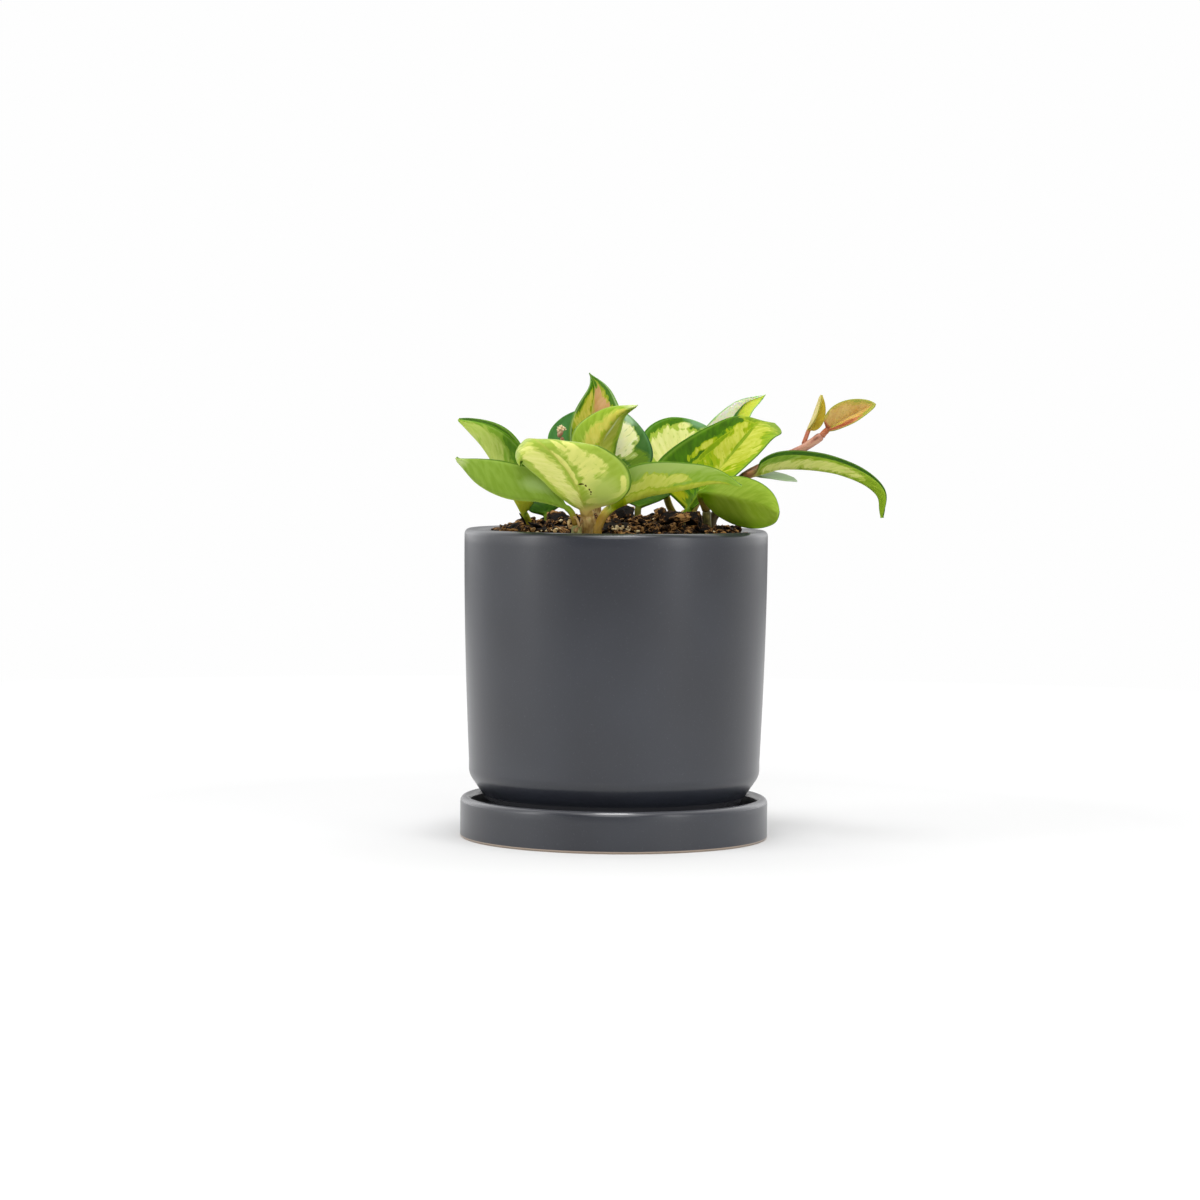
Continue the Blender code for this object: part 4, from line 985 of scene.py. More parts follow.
# %% Leaf looks
LOOKS = {
    "leaf_left_high": look(
        "under", "#9DBB52", "#84A93A", other=DARK_UPPER, rim="#9DBB60", petiole="#A9AE3E", gloss=0.12, layers=[
            patch("#BFCF6E", "#B2C660", "#A9C058", [(-0.4, 0.84, 0.36, 0.12), (-0.15, 0.66, 0.3, 0.12),
                                                    (-0.5, 0.72, 0.24, 0.08)]),
            patch("#5E8E1A", "#527F10", "#86A83A", [(-0.88, 0.6, 0.16, 0.08), (-0.8, 0.5, 0.22, 0.07),
                                                    (-0.6, 0.36, 0.3, 0.1)], 0.6, 0.25),
            patch("#C2C64A", "#B5BE44", "#A5B640", [(-0.3, 0.1, 0.5, 0.1)], 0.6)]),
    "leaf_left_low": look(
        "under", "#87A345", "#7C993A", other=DARK_UPPER, edge="#3F6414", rim="#A3BC62", petiole="#869A34",
        root="#9A8040", gloss=0.12, layers=[
            # A pale painted sheen across the middle of the lower face.
            sheen_shade_and_tone("#9DB668", [(-0.5, 0.28, 0.2, 0.1)]),
            sheen_shade_and_tone("#A9BB75", [(-0.4, 0.97, 0.6, 0.08)])]),
    "leaf_front": look(
        "under", "#A3B850", "#98AF46", other=DARK_UPPER, edge="#3F6318", rim="#B5C66C", vein="#B9B45A",
        petiole="#C8B470", root="#C2A464", neck=0.1, layers=[
            patch("#DCDD84", "#D4D87C", "#BCC864", [(-0.4, 0.52, 0.2, 0.13), (-0.5, 0.66, 0.09, 0.07),
                                                    (-0.3, 0.68, 0.06, 0.06), (-0.3, 0.3, 0.14, 0.12),
                                                    (-0.6, 0.52, 0.1, 0.07)], 0.6, 0.22),
            patch("#DCDC82", "#D4D67A", "#BAC462", [(-0.04, 0.46, 0.045, 0.18), (-0.36, 0.12, 0.3, 0.03),
                                                    (-0.86, 0.28, 0.05, 0.09), (-0.72, 0.17, 0.14, 0.03)],
                  0.5, 0.2),
            patch("#E0E090", "#D6DA80", "#C0CA66", [(0.42, 0.5, 0.24, 0.3), (0.3, 0.2, 0.24, 0.14)], 0.5, 0.25),
            sheen_shade_and_tone("#B4C468", [(-0.5, 0.2, 0.3, 0.14)])],
        marks=[(-0.12, 0.302, 0.05, 0.008), (-0.19, 0.285, 0.02, 0.012), (-0.235, 0.246, 0.016, 0.01),
               (-0.25, 0.222, 0.018, 0.009), (-0.24, 0.198, 0.012, 0.008)]),
    "leaf_top": look(
        "upper", "#4A7A10", "#3E6C0C", other=PALER, rim="#D3E2B0", vein="#C8C27A", petiole="#A9A450",
        layers=[
            patch("#CFCB66", "#BFC052", "#9AAC38", [(-0.4, 0.72, 0.26, 0.11), (-0.36, 0.52, 0.4, 0.2)], 0.5),
            patch("#BDB454", "#ACA846", "#8DA02C", [(0.3, 0.7, 0.34, 0.2), (0.3, 0.46, 0.45, 0.26)], 0.6),
            patch("#CDA478", "#C69A6A", "#B9A654", [(0.28, 0.8, 0.16, 0.1), (0.42, 0.7, 0.22, 0.07),
                                                    (0.26, 0.62, 0.2, 0.1)], 0.6, 0.25),
            patch("#4F7F14", "#447410", "#7A962A", [(0.2, 0.93, 0.16, 0.05)], 0.5)]),
    "leaf_tip_right": look(
        "under", "#9CB842", "#8BA834", other=DARK_UPPER, rim="#B5C56C", vein="#A3A03C", layers=[
            patch("#CDC862", "#C3BE54", "#B2BF50", [(0.2, 0.48, 0.3, 0.26), (0.08, 0.74, 0.16, 0.12)], 0.6),
            patch("#BFC65A", "#B2BC4C", "#A3B440", [(-0.36, 0.5, 0.3, 0.3)], 0.6),
            patch("#4F7A0C", "#446E08", "#7E9A2C", [(-1.0, 0.3, 0.14, 0.2)], 0.4),
            # A white streak of painted highlight beside the rib.
            sheen_shade_and_tone("#D5DDA0", [(-0.13, 0.6, 0.05, 0.12)]),
            sheen_shade_and_tone("#C4D28C", [(0.4, 0.95, 0.6, 0.06)])]),
    "leaf_dark_left": look(
        "upper", "#3A6A1C", "#2F5F1E", other=PALER, edge="#487A34", rim="#4F8048", vein="#4F7F3C",
        # A paler bluish green painted sheen over the dark face.
        gloss=0.12, layers=[sheen_shade_and_tone("#4A7D42", [(-0.6, 0.6, 0.3, 0.3)])]),
    "leaf_cream_right": look(
        "upper", "#4A7638", "#568242", other=PALER, edge="#234A2C", rim="#6F9C68", through=0.6, layers=[
            patch("#82A43E", "#74963A", "#628A3C", [(0.5, 0.38, 0.3, 0.12), (0.75, 0.28, 0.25, 0.1)], 0.6),
            patch("#FCFDD0", "#F6F8BC", "#BCCE72", [(0.36, 0.7, 0.3, 0.14), (0.2, 0.5, 0.28, 0.18),
                                                    (-0.3, 0.5, 0.5, 0.36)], 0.6, 0.22),
            # A pale bluish painted sheen near the tip.
            sheen_shade_and_tone("#A9C8A0", [(0.5, 0.9, 0.3, 0.07)])]),
    "leaf_cream_back": look(
        "upper", "#54820E", "#467812", other=PALER, edge="#3F6E1C", rim="#82A85C", gloss=0.14,
        through=0.5, layers=[
            patch("#E6E6A0", "#DCDE8E", "#AABF50", [(-0.38, 0.55, 0.34, 0.16), (-0.36, 0.36, 0.36, 0.16),
                                                    (-0.1, 0.5, 0.34, 0.3), (-0.5, 0.8, 0.16, 0.07)], 0.45),
            # A bluish painted sheen near the tip.
            sheen_shade_and_tone("#7FA87A", [(-0.6, 0.94, 0.5, 0.08)])]),
    "leaf_white_tip": look(
        "upper", "#7AA64C", "#88B044", other=PALER, edge="#6E9F60", rim="#A8C890", through=0.8, layers=[
            patch("#FFFFF6", "#FAFCE8", "#D4E4B0", [(-0.6, 0.62, 0.42, 0.44)], 0.35, 0.2),
            patch("#CDD35C", "#BFCB50", "#A3BC48", [(0.5, 0.84, 0.5, 0.16), (0.5, 0.5, 0.45, 0.3)], 0.6),
            patch("#5E9058", "#6A9A50", "#8DB46C", [(-0.16, 0.72, 0.07, 0.26)], 0.3)]),
    "leaf_yellow_right": look(
        "upper", "#385E04", "#46730A", other=PALER, edge="#345E0E", rim="#86A84A", vein="#93A63A",
        petiole="#5E7A14", root="#6B6A24", gloss=0.1, layers=[
            patch("#8CA82C", "#7B9A22", "#5C860F", [(-0.1, 0.64, 0.4, 0.34), (0.5, 0.6, 0.7, 0.45)], 0.6, 0.2),
            patch("#C2C65C", "#B2BA48", "#98AA30", [(-0.2, 0.56, 0.22, 0.15), (-0.6, 0.45, 0.07, 0.08),
                                                    (-0.34, 0.72, 0.16, 0.1), (0.3, 0.62, 0.4, 0.22),
                                                    (0.1, 0.4, 0.22, 0.1)], 0.8),
            patch("#7F9A24", "#6E8E1C", "#98AA34", [(0.0, 0.62, 0.06, 0.16), (-0.46, 0.5, 0.05, 0.14),
                                                    (0.5, 0.98, 0.8, 0.08), (-0.5, 0.9, 0.5, 0.08)], 0.5),
            patch("#8F9320", "#9AA02C", "#6F8A14", [(-0.36, 0.05, 0.3, 0.05)], 0.3),
            patch("#2F4A04", "#3A5606", "#4F7008", [(0.45, 0.06, 0.5, 0.08)], 0.3)]),
    "leaf_long_front": look(
        "under", "#95B34E", "#86A83C", other=DARK_UPPER, edge="#4A7418", rim="#A6BA70", vein="#9DAA34",
        petiole="#A8A048", root="#9A7C3C", layers=[
            # A pale painted sheen along one half, near its margin.
            sheen_shade_and_tone("#A2B866", [(0.88, 0.45, 0.26, 0.34)]),
            patch("#CACF6A", "#C0C85C", "#AABC4C", [(0.38, 0.42, 0.2, 0.11), (0.4, 0.56, 0.13, 0.08),
                                                    (0.22, 0.28, 0.26, 0.1)], 0.7),
            patch("#BEC556", "#B2BC4A", "#A3B640", [(0.02, 0.25, 0.16, 0.22), (0.0, 0.6, 0.12, 0.3),
                                                    (-0.5, 0.4, 0.5, 0.4)], 0.5),
            patch("#86980F", "#7A9010", "#98A82C", [(-0.1, 0.37, 0.04, 0.12), (0.3, 0.08, 0.4, 0.05)], 0.3)]),
    "leaf_oval_low": look(
        "under", "#9AB348", "#8DA83C", other=DARK_UPPER, edge="#466C0A", rim="#8CA83C", vein="#93AB42",
        petiole="#6F7F26", root="#7A6A34", layers=[
            # Darker towards the base and along one margin: painted shade.
            sheen_shade_and_tone("#6A8E1E", [(-0.1, 0.02, 1.0, 0.14)]),
            sheen_shade_and_tone("#7E9C32", [(-1.0, 0.6, 0.3, 0.5)])]),
    "leaf_arching": look(
        "under", "#96B044", "#84A038", other=("#26480C", "#345A16"), edge="#20400C", rim="#8CA850",
        gloss=0.06, vein="#B5C06A", petiole="#A8785A", root="#9A6A50", layers=[
            patch("#D6DA86", "#CAD274", "#B1C05C", [(0.4, 0.46, 0.3, 0.24), (0.24, 0.18, 0.26, 0.12)], 0.6),
            sheen_shade_and_tone("#7E9A34", [(0.3, 0.98, 1.2, 0.16)]),
            patch("#86A646", "#789A3C", "#98B054", [(0.9, 0.15, 0.32, 0.12)], 0.5)]),
    "leaf_grey_narrow": look(
        "under", "#9AAA86", "#8C9F76", other=("#5E7A44", "#6A864E"), edge="#7C9468", rim="#B5C2A4",
        vein="#A9B898", layers=[]),
    "leaf_young_pink": look(
        "upper", "#A3A44C", "#989C44", other=PALER, edge="#8E9440", rim="#C0A860", vein="#B57E56",
        petiole="#B06A4C", root="#B87A60", layers=[
            patch("#D3B672", "#CBA463", "#BDAA58", [(-0.36, 0.36, 0.5, 0.36), (-0.1, 0.7, 0.5, 0.2),
                                                    (0.3, 0.6, 0.3, 0.3)], 0.5),
            patch("#98563E", "#A3644A", "#BC8058", [(0.8, 0.26, 0.34, 0.3), (0.2, 0.03, 1.0, 0.06)], 0.4)]),
    "leaf_young_small": look(
        "upper", "#C6B24C", "#B8A640", other=PALER, edge="#80802C", rim="#A8983A", vein="#C8A850",
        petiole="#A8704E", root="#B0705A", layers=[]),
    # The two low leaves lie in deep shade between the stems; their very dark greens are their own green darkened
    # by painted shade.
    "leaf_low_middle": look(
        "upper", "#3E5F18", "#4A701C", other=("#264808", "#30540C"), edge="#35540F", rim="#3E6418", vein="#466C20",
        gloss=0.08, petiole="#6B7A2C", root="#6B6A30", layers=[]),
    "leaf_low_left_dark": look(
        "upper", "#22400A", "#2E4E0E", other=("#152C04", "#203A08"), edge="#1E3A08", rim="#264808", vein="#2E5010",
        gloss=0.05, petiole="#4F6A1C", root="#6B6A30", layers=[]),
    "leaf_back": look(
        "upper", "#4C7A1C", "#3D6A14", other=PALER, layers=[
            patch("#D6DA8A", "#C8D070", "#97B044", [(0.0, 0.5, 0.4, 0.3)])]),
}

# %% Grow the leaves
for number_of_leaf, (leaf_name, leaf) in enumerate(LEAVES.items()):
    leaf_seed = 3.7 * number_of_leaf + 1.0
    skin, leaf_length, leaf_width = leaf_skin(leaf, leaf_seed)
    finish = leaf_finish(leaf_name + "_wax", LOOKS[leaf_name], leaf_length, leaf_width, leaf_seed)
    finished(leaf_name.replace("leaf_", "blade_"), skin, finish, [leaf_name])
    print(leaf_name, "length mm:", round(leaf_length, 1))

# %% [markdown]
# ## The bud
#
# Between two leaves stands a young flower bud cluster on a thin stalk: a small pink swelling
# with a star of cream points on it. Each point is a stretched sphere, and a loop turns them
# outwards from the middle on a sunflower spiral.

# %% Bud
BUD_STALK = [(-12, 3.2, 150), (-17, 2.6, 157), (-21.4, 2.2, 163), (-23.4, 1.8, 167.4)]
BUD_STALK_RADIUS = 0.8 * MM
BUD_HEART = (-23.3, 1.6, 170.3)
BUD_POINTS = 13
POINT_SIZE = (0.5, 0.5, 1.3)


def bud_finish():
    """Velvety pink at the foot, cream at the tips."""
    material, tree, shader = new_finish("bud_velvet")
    place = tree.nodes.new("ShaderNodeTexCoord").outputs["Object"]
    height = add(tree, "SeparateXYZ", {"Vector": place}).node.outputs["Z"]
    rise = remap(tree, height, 163 * MM, 173 * MM, 0.0, 0.8)
    grain = add(tree, "TexNoise", {"Vector": place}, {"Scale": 1 / (0.9 * MM), "Detail": 2.0})
    rise = number(tree, "MULTIPLY_ADD", grain, 0.5, number(tree, "SUBTRACT", rise, 0.1))
    tree.links.new(ramp(tree, rise, [(0.3, "#8A6A34"), (0.55, "#BE7F64"), (0.75, "#E4CFA0")]),
                   shader.inputs["Base Color"])
    bump = add(tree, "Bump", {"Height": grain}, {"Strength": 0.4, "Distance": 0.1 * MM})
    tree.links.new(bump, shader.inputs["Normal"])
    shader.inputs["Roughness"].default_value = 0.7
    return material


def pour(heap, shape):
    """Add a small mesh to a heap of them."""
    carrier = bpy.data.meshes.new("carrier")
    shape.to_mesh(carrier)
    shape.free()
    heap.from_mesh(carrier)
    bpy.data.meshes.remove(carrier)


def add_pebble(heap, centre, size, way):
    """A stretched sphere that points along a direction."""
    shape = bmesh.new()
    made = bmesh.ops.create_icosphere(shape, subdivisions=2, radius=1)["verts"]
    bmesh.ops.scale(shape, verts=made, vec=mm(*size))
    bmesh.ops.rotate(shape, verts=made, matrix=way.to_track_quat("Z", "Y").to_matrix())
    bmesh.ops.translate(shape, verts=made, vec=centre)
    pour(heap, shape)


def bud_shape():
    """The stalk, its swelling and the star of points in one mesh."""
    path = stem_path("stem_middle")
    points = [mm(*point) for point in BUD_STALK]
    start = path[-1] - (path[-1] - path[-2]).normalized() * SEAT_SINK
    shape = round_skin(smooth_path([start] + points), lambda d, whole: BUD_STALK_RADIUS, columns=12)
    heart = mm(*BUD_HEART)
    add_pebble(shape, heart - mm(0.5, 0, 1.3), (1.2, 1.2, 2.0), mm(0.4, 0, 1))
    for i in range(BUD_POINTS):
        height = 1 - 1.25 * i / (BUD_POINTS - 1)
        flat = math.sqrt(1 - height ** 2)
        way = Vector((flat * math.cos(i * 2.39996), flat * math.sin(i * 2.39996), height))
        add_pebble(shape, heart + way * 1.0 * MM, POINT_SIZE, way)
    return shape


finished("bud_cluster", bud_shape(), bud_finish(), ["bud"])
print("bud points:", BUD_POINTS)

# %% [markdown]
# ## The potting mix
#
# The pot is filled with coarse orchid bark, damp and nearly black, with a few pale grains of
# perlite and tan fibres. The top of the mix is a low dome. A polar grid is lifted by the
# dome's formula and by two noises, and hundreds of torn bark crumbs lie on it. Each crumb is
# a small sphere whose points are pushed in and out, squeezed flat, turned and dropped. How
# far a point stands out from the crumb's middle is kept on the mesh, and the finish makes the
# points that stand out tan and the hollows black.

# %% Mix dome
MIX_CENTRE_TOP = 132.3 * MM
MIX_EDGE_TOP = 123.4 * MM
MIX_DOME_POWER = 3.0
MIX_RELIEF = 0.8 * MM
MIX_SKIRT = 6 * MM
MIX_EDGE_RADIUS = POT_RIM_RADIUS - POT_WALL - 0.45 * MM


def mix_top(x, y):
    """Height of the mix without its crumbs."""
    share = math.hypot(x, y) / (POT_RIM_RADIUS - POT_WALL)
    dome = MIX_CENTRE_TOP - (MIX_CENTRE_TOP - MIX_EDGE_TOP) * share ** MIX_DOME_POWER
    waves = math.sin(x / (4.1 * MM) + 1.3) * math.cos(y / (3.7 * MM))
    return dome + MIX_RELIEF * waves * (1 - share ** 6)


def damp_bark(name, stops, lump_mm, bump_mm):
    """Rough damp bark, coloured by torn fibres and by how far a ridge stands out."""
    material, tree, shader = new_finish(name)
    place = tree.nodes.new("ShaderNodeTexCoord").outputs["Object"]
    lumps = add(tree, "TexNoise", {"Vector": place},
                {"Scale": 1 / (lump_mm * MM), "Detail": 6.0, "Roughness": 0.65})
    fine = add(tree, "TexNoise", {"Vector": place}, {"Scale": 1 / (0.5 * MM), "Detail": 3.0})
    mixed = number(tree, "MULTIPLY_ADD", fine, 0.4, number(tree, "SUBTRACT", lumps, 0.2))
    standout = add(tree, "Attribute", attribute_name="Standout").node.outputs["Fac"]
    shown = number(tree, "MULTIPLY_ADD", standout, 0.35, mixed)
    tree.links.new(ramp(tree, shown, stops), shader.inputs["Base Color"])
    bump = add(tree, "Bump", {"Height": mixed}, {"Strength": 0.9, "Distance": bump_mm * MM})
    tree.links.new(bump, shader.inputs["Normal"])
    shader.inputs["Roughness"].default_value = 0.75
    shader.inputs["Specular IOR Level"].default_value = 0.1
    return material


peat = damp_bark("damp_peat", [(0.4, "#060301"), (0.54, "#110904"), (0.66, "#26160A"), (0.78, "#5A3F22")],
                 3.0, 0.8)
bark = damp_bark("torn_bark", [(0.43, "#070301"), (0.57, "#180D05"), (0.68, "#42280F"), (0.82, "#A67C4A")],
                 2.2, 0.6)
perlite = damp_bark("perlite", [(0.36, "#6B5532"), (0.48, "#B0905E"), (0.62, "#E2CFA4")], 1.5, 0.3)


def mix_dome():
    """The dome as a polar grid with a short skirt down the pot's wall."""
    columns = 144
    rows = 56
    rings = []
    for row in range(rows + 2):
        ring = []
        for column in range(columns + 1):
            angle = math.tau * column / columns
            radius = MIX_EDGE_RADIUS * (1 - max(0, row - 1) / rows)
            x = radius * math.cos(angle)
            y = radius * math.sin(angle)
            spot = Vector((x, y, 0))
            rough = noise.fractal(spot / (4 * MM), 0.9, 2.0, 4) * 0.9 * MM
            z = mix_top(x, y) + rough
            if row == 0:
                z = MIX_EDGE_TOP - MIX_SKIRT
            ring.append((Vector((x, y, z)), (column / columns, row / rows)))
        rings.append(ring)
    return rolled_skin(columns, rings)


finished("mix_surface", mix_dome(), peat, ["potting_mix"])

# %% [markdown]
# The big pieces that give the mix its outline in the photograph lie where the solid model has
# them, and the rest are scattered on a sunflower spiral, which spreads points evenly over a
# disc. The crumbs keep clear of the stems. Pale grains gather at the front in two places.

# %% Bark crumbs
OUTLINE_BARK = [
    ((3, -5, 135.2), (15, 11, 9)),
    ((19, -6, 135.4), (7, 8, 9)),
    ((24.5, -14, 133.6), (9, 7, 8)),
    ((33.2, -2, 132.6), (8, 8, 7)),
    ((-43, 1, 128.6), (8, 8, 5)),
    ((-24, -12, 132.4), (9, 12, 6)),
    ((48, 4, 128.2), (8, 9, 6)),
    ((2, -40, 129.6), (11, 9, 5)),
    ((20, -38, 129.2), (12, 9, 5)),
    ((24, -29, 134), (14, 9, 8)),
    ((31.8, -26, 134), (10, 8, 8)),
    ((17.8, -28, 136), (4, 4, 7)),
]
CRUMB_COUNT = 560
CHIP_FACETS = 9
GRAIN_COUNT = 36
FRONT_GRAINS = [((3.5, -46), (6, 3), 20), ((-28, -42), (8, 4), 12)]


def stem_places():
    """Where a stem or a petiole leaves the mix."""
    places = [Vector(stem["points"][0][:2]) * MM for stem in STEMS.values()]
    places += [Vector(leaf["stalk"][0][:2]) * MM for leaf in LEAVES.values() if leaf["seat"] is None]
    return places


def new_heap():
    """An empty mesh that remembers how far each of its points stands out."""
    heap = bmesh.new()
    heap.verts.layers.float.new("Standout")
    return heap


def add_crumb(heap, draw, centre, size, detail, rough):
    """One torn crumb: a sphere pushed in and out, squeezed, turned and dropped."""
    shape = new_heap()
    standout = shape.verts.layers.float["Standout"]
    made = bmesh.ops.create_icosphere(shape, subdivisions=detail, radius=0.5)["verts"]
    shift = Vector((draw.uniform(0, 50), draw.uniform(0, 50), draw.uniform(0, 50)))
    cuts = [(Vector((draw.gauss(0, 1), draw.gauss(0, 1), draw.gauss(0, 1))).normalized(),
             draw.uniform(0.24, 0.4)) for _ in range(CHIP_FACETS)]
    for vert in made:
        for way, limit in cuts:
            vert.co -= way * max(0.0, vert.co.dot(way) - limit)
        ledge = round(noise.noise(vert.co * 3.0 + shift) * 4) / 4
        fibre = noise.noise(Vector((vert.co.x * 3, vert.co.y * 14, vert.co.z * 14)) + shift)
        vert[standout] = (vert.co.length - 0.36) * 5 + 0.8 * fibre
        vert.co *= 1 + rough * (ledge + 0.4 * fibre)
    bmesh.ops.scale(shape, verts=made, vec=size)
    tilt = Matrix.Rotation(draw.uniform(-0.6, 0.6), 3, "X") @ Matrix.Rotation(draw.uniform(-0.4, 0.4), 3, "Y")
    turn = Matrix.Rotation(draw.uniform(0, math.tau), 3, "Z")
    bmesh.ops.rotate(shape, verts=made, matrix=turn @ tilt)
    bmesh.ops.translate(shape, verts=made, vec=centre)
    pour(heap, shape)


def split_edges(piece):
    """Shade the chips' facets apart."""
    piece.data.set_sharp_from_angle(angle=math.radians(38))


def scatter(shape, draw, count, reach, size_of, detail, rough, sink):
    """Crumbs on a sunflower spiral, off the stems."""
    places = stem_places()
    for i in range(count):
        radius = reach * math.sqrt((i + 0.5) / count)
        angle = i * 2.39996 + draw.uniform(-0.3, 0.3)
        spot = Vector((radius * math.cos(angle), radius * math.sin(angle)))
        size = size_of(draw)
        if any((spot - place).length < 3 * MM + size.x / 2 for place in places):
            continue
        centre = Vector((spot.x, spot.y, mix_top(spot.x, spot.y) + sink * size.z))
        add_crumb(shape, draw, centre, size, detail, rough)


def bark_size(draw):
    """A flat chip, seldom large."""
    long_side = draw.triangular(2.6, 11.0, 4.4)
    return mm(long_side, long_side * draw.uniform(0.5, 0.9), long_side * draw.uniform(0.3, 0.6))


def grain_size(draw):
    """A pale grain."""
    side = draw.uniform(0.9, 2.4)
    return mm(side, side * 0.8, side * 0.7)


draw = random.Random(11)
chunks = new_heap()
for centre, size in OUTLINE_BARK:
    add_crumb(chunks, draw, mm(*centre), mm(*size) * 1.1, 4, 0.3)
split_edges(finished("bark_chunks", chunks, bark, ()))
crumbs = new_heap()
scatter(crumbs, draw, CRUMB_COUNT, 55 * MM, bark_size, 3, 0.3, 0.25)
split_edges(finished("bark_crumbs", crumbs, bark, ()))
grains = new_heap()
scatter(grains, draw, GRAIN_COUNT, 54 * MM, grain_size, 1, 0.25, 0.9)
for (x, y), (wide, deep), count in FRONT_GRAINS:
    for _ in range(count):
        spot = mm(x + wide * draw.uniform(-1, 1), y + deep * draw.uniform(-1, 1), 0)
        spot.z = mix_top(spot.x, spot.y) + 2.6 * MM
        add_crumb(grains, draw, spot, grain_size(draw), 1, 0.25)
finished("pale_grains", grains, perlite, ())
print("crumbs and grains:", CRUMB_COUNT, GRAIN_COUNT)

# %% [markdown]
# At the foot of the front leaves a few tan roots show, with their knobs, and a dry brown twig
# leans out of the mix on the left.

# %% Roots and a twig
ROOTS = [
    ([(-17.6, -48.2, 135.4), (-16, -48.8, 134.4), (-14.8, -49.4, 131)], 0.55),
    ([(-18.6, -48.4, 134.6), (-19.4, -49.4, 132.8), (-18.6, -50.2, 130.4)], 0.6),
    ([(-13.6, -44.6, 134), (-15.6, -46.6, 131.6), (-17, -49.6, 129.6)], 0.6),
]
KNOBS = [((-18.6, -50, 131.6), 1.5), ((-25, -50, 129.4), 1.7), ((-33.6, -44, 130), 1.4),
         ((-16.2, -49.2, 130), 1.8)]
TWIG = [(-37.4, -10, 129.5), (-38.4, -10.4, 132.4), (-40.4, -10, 135.8)]

heap = new_heap()
for points, radius in ROOTS:
    pour(heap, round_skin(smooth_path([mm(*point) for point in points]),
                          lambda d, whole: radius * MM, columns=10, rough=0.25 * MM, seed=radius))
for centre, side in KNOBS:
    add_crumb(heap, draw, mm(*centre), mm(side * 1.6, side, side * 1.3), 3, 0.2)
finished("pale_roots", heap, bark_skin("pale_root", [(0.36, "#6B4A24"), (0.5, "#A8824C"), (0.64, "#D2B880")],
                                       3.0, 0.3, 0.6), ())
twig = round_skin(smooth_path([mm(*point) for point in TWIG]),
                  lambda d, whole: (0.6 - 0.35 * d / whole) * MM, columns=8)
finished("dry_twig", twig, bark, ())
print("roots and knobs:", len(ROOTS), len(KNOBS))

# %% [markdown]
# ## Studio
#
# The photograph is a high-key product shot: a white sweep, a tall soft light on each side
# and a small strong one above, whose reflection draws the bright line along the lips of the
# pot and the saucer; on the saucer's lip a painted highlight adds to it. The floor stays
# plain and pale, and far away it turns to the same white as the background, so that no
# horizon shows. The world is three things at once: white to the camera, a soft fill on the
# surfaces that is stronger from behind, and in reflections darker in front than behind, with
# pale windows that draw the soft bands on the glaze. A dark flag right behind the plant, the
# last window, keeps a white shine off the leaves' upper faces.

# %% Floor, light and background
WINDOWS = [((-0.93, -0.37, 0.0), 0.8, 1.6), ((0.75, -0.66, 0.0), 0.8, 1.3),
           ((0.0, -0.5, 0.87), 0.91, 4.5), ((0.0, 1.0, 0.15), 0.78, -2.1)]


def studio_floor():
    """A large pale disc that fades to the background's white."""
    shape = bmesh.new()
    bmesh.ops.create_circle(shape, cap_ends=True, segments=64, radius=6.0)
    mesh = bpy.data.meshes.new("floor")
    shape.to_mesh(mesh)
    shape.free()
    floor = bpy.data.objects.new("floor", mesh)
    bpy.context.collection.objects.link(floor)
    material, tree, shader = new_finish("studio_white")
    place = tree.nodes.new("ShaderNodeTexCoord").outputs["Object"]
    away = add(tree, "VectorMath", {0: place}, operation="LENGTH").node.outputs["Value"]
    far = remap(tree, away, 0.25, 0.9)
    seen = tree.nodes.new("ShaderNodeLightPath").outputs["Is Camera Ray"]
    fading = remap(tree, away, 0.3, 2.2, 1.4, 0.2)
    strength = number(tree, "MAXIMUM", fading, seen)
    shader.inputs["Base Color"].default_value = linear("#EDEDED")
    shader.inputs["Roughness"].default_value = 0.9
    shader.inputs["Specular IOR Level"].default_value = 0.0
    glow = add(tree, "Emission", {"Strength": strength}, {"Color": linear("#FEFEFE")})
    both = add(tree, "MixShader", {0: far, 1: shader.outputs[0], 2: glow})
    tree.links.new(both, tree.nodes["Material Output"].inputs["Surface"])
    mesh.materials.append(material)


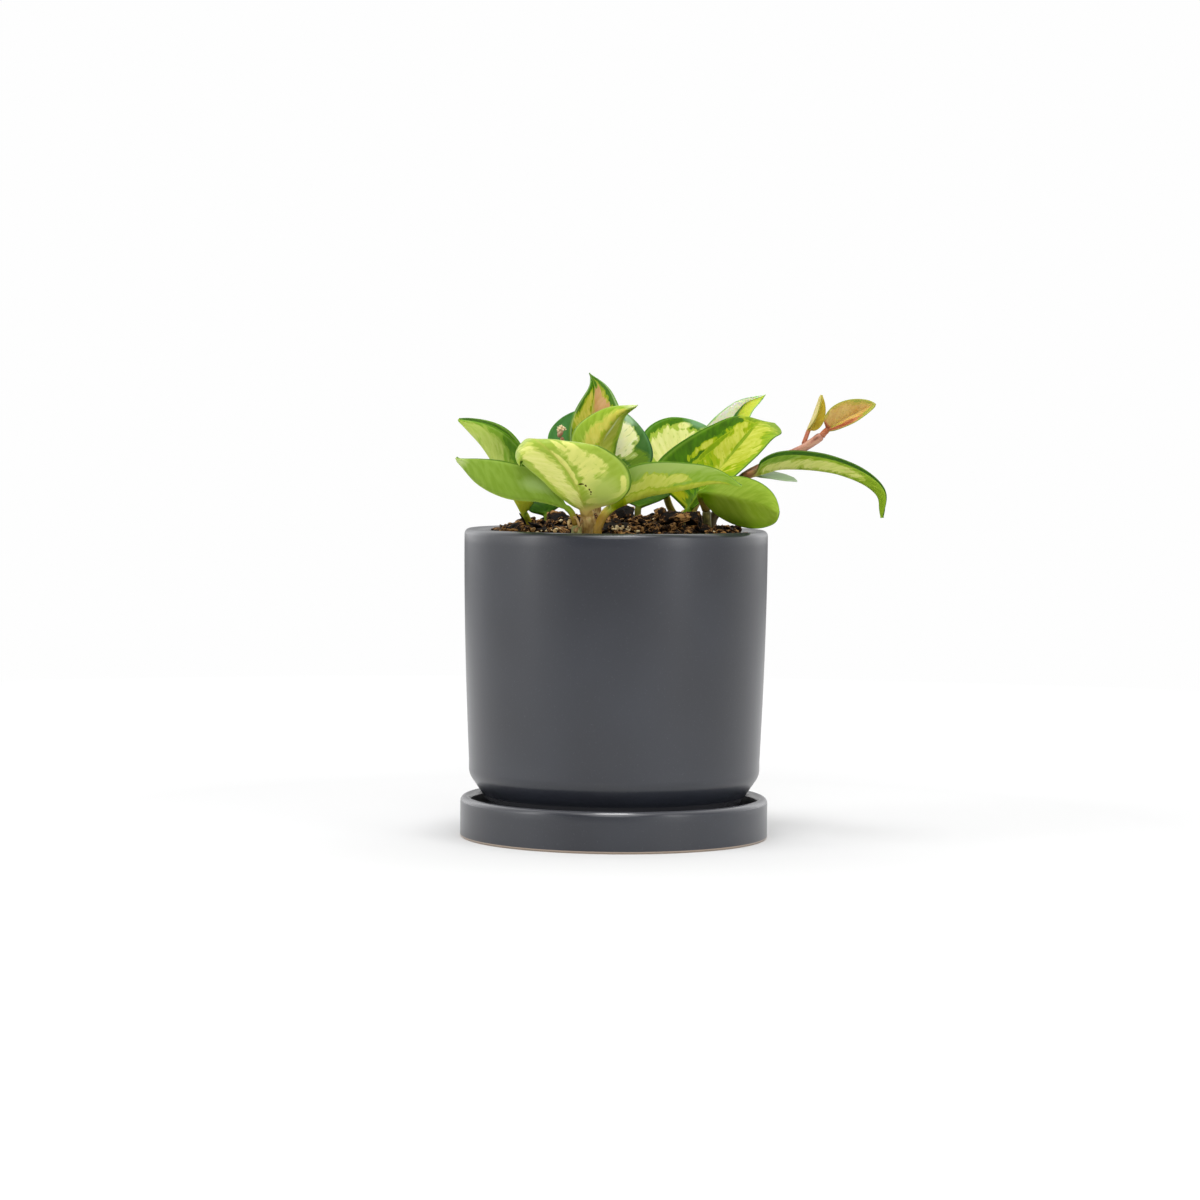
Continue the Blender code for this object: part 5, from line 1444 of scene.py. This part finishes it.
def soft_light(name, place, size, power, aim=(0, 0, 0.1)):
    """A large square light that looks at the pot."""
    lamp = bpy.data.lights.new(name, "AREA")
    lamp.shape = "RECTANGLE"
    lamp.size, lamp.size_y = size
    lamp.energy = power
    made = bpy.data.objects.new(name, lamp)
    bpy.context.collection.objects.link(made)
    made.location = place
    made.rotation_euler = (Vector(aim) - Vector(place)).to_track_quat("-Z", "Y").to_euler()


def studio_world():
    """White to the camera, a soft fill as light, darker in front than behind in reflections."""
    world = bpy.data.worlds.new("studio")
    bpy.context.scene.world = world
    world.use_nodes = True
    tree = world.node_tree
    backdrop = tree.nodes["Background"]
    backdrop.inputs["Color"].default_value = linear("#FEFEFE")
    way = tree.nodes.new("ShaderNodeTexCoord").outputs["Generated"]
    depth = add(tree, "SeparateXYZ", {"Vector": way}).node.outputs["Y"]
    glow = remap(tree, depth, -0.4, 0.9, 0.15, 2.6)
    for window, edge, strength in WINDOWS:
        facing = add(tree, "VectorMath", {0: way}, {1: Vector(window).normalized()},
                     operation="DOT_PRODUCT").node.outputs["Value"]
        glow = number(tree, "ADD", glow, remap(tree, facing, edge, 1.0, 0.0, strength))
    mirrored = add(tree, "Background", {"Strength": glow})
    ambient = add(tree, "Background", {"Strength": remap(tree, depth, -0.3, 0.7, 0.42, 0.95)})
    for lamp in (mirrored, ambient):
        lamp.node.inputs["Color"].default_value = (1, 1, 1, 1)
    ray = tree.nodes.new("ShaderNodeLightPath").outputs
    lit = add(tree, "MixShader", {0: ray["Is Diffuse Ray"], 1: mirrored, 2: ambient})
    both = add(tree, "MixShader", {0: ray["Is Camera Ray"], 1: lit, 2: backdrop.outputs[0]})
    tree.links.new(both, tree.nodes["World Output"].inputs["Surface"])


studio_floor()
studio_world()
soft_light("tall_left", (-1.35, -0.6, 0.7), (0.4, 1.2), 4)
soft_light("tall_right", (1.1, -1.0, 0.7), (0.4, 1.2), 3.2)
soft_light("front", (0.0, -2.2, 1.2), (1.2, 0.8), 9)
soft_light("above", (0.0, -0.3, 1.5), (0.4, 0.4), 8.5)
bpy.context.scene.view_settings.view_transform = "Standard"
print("lights: 4")
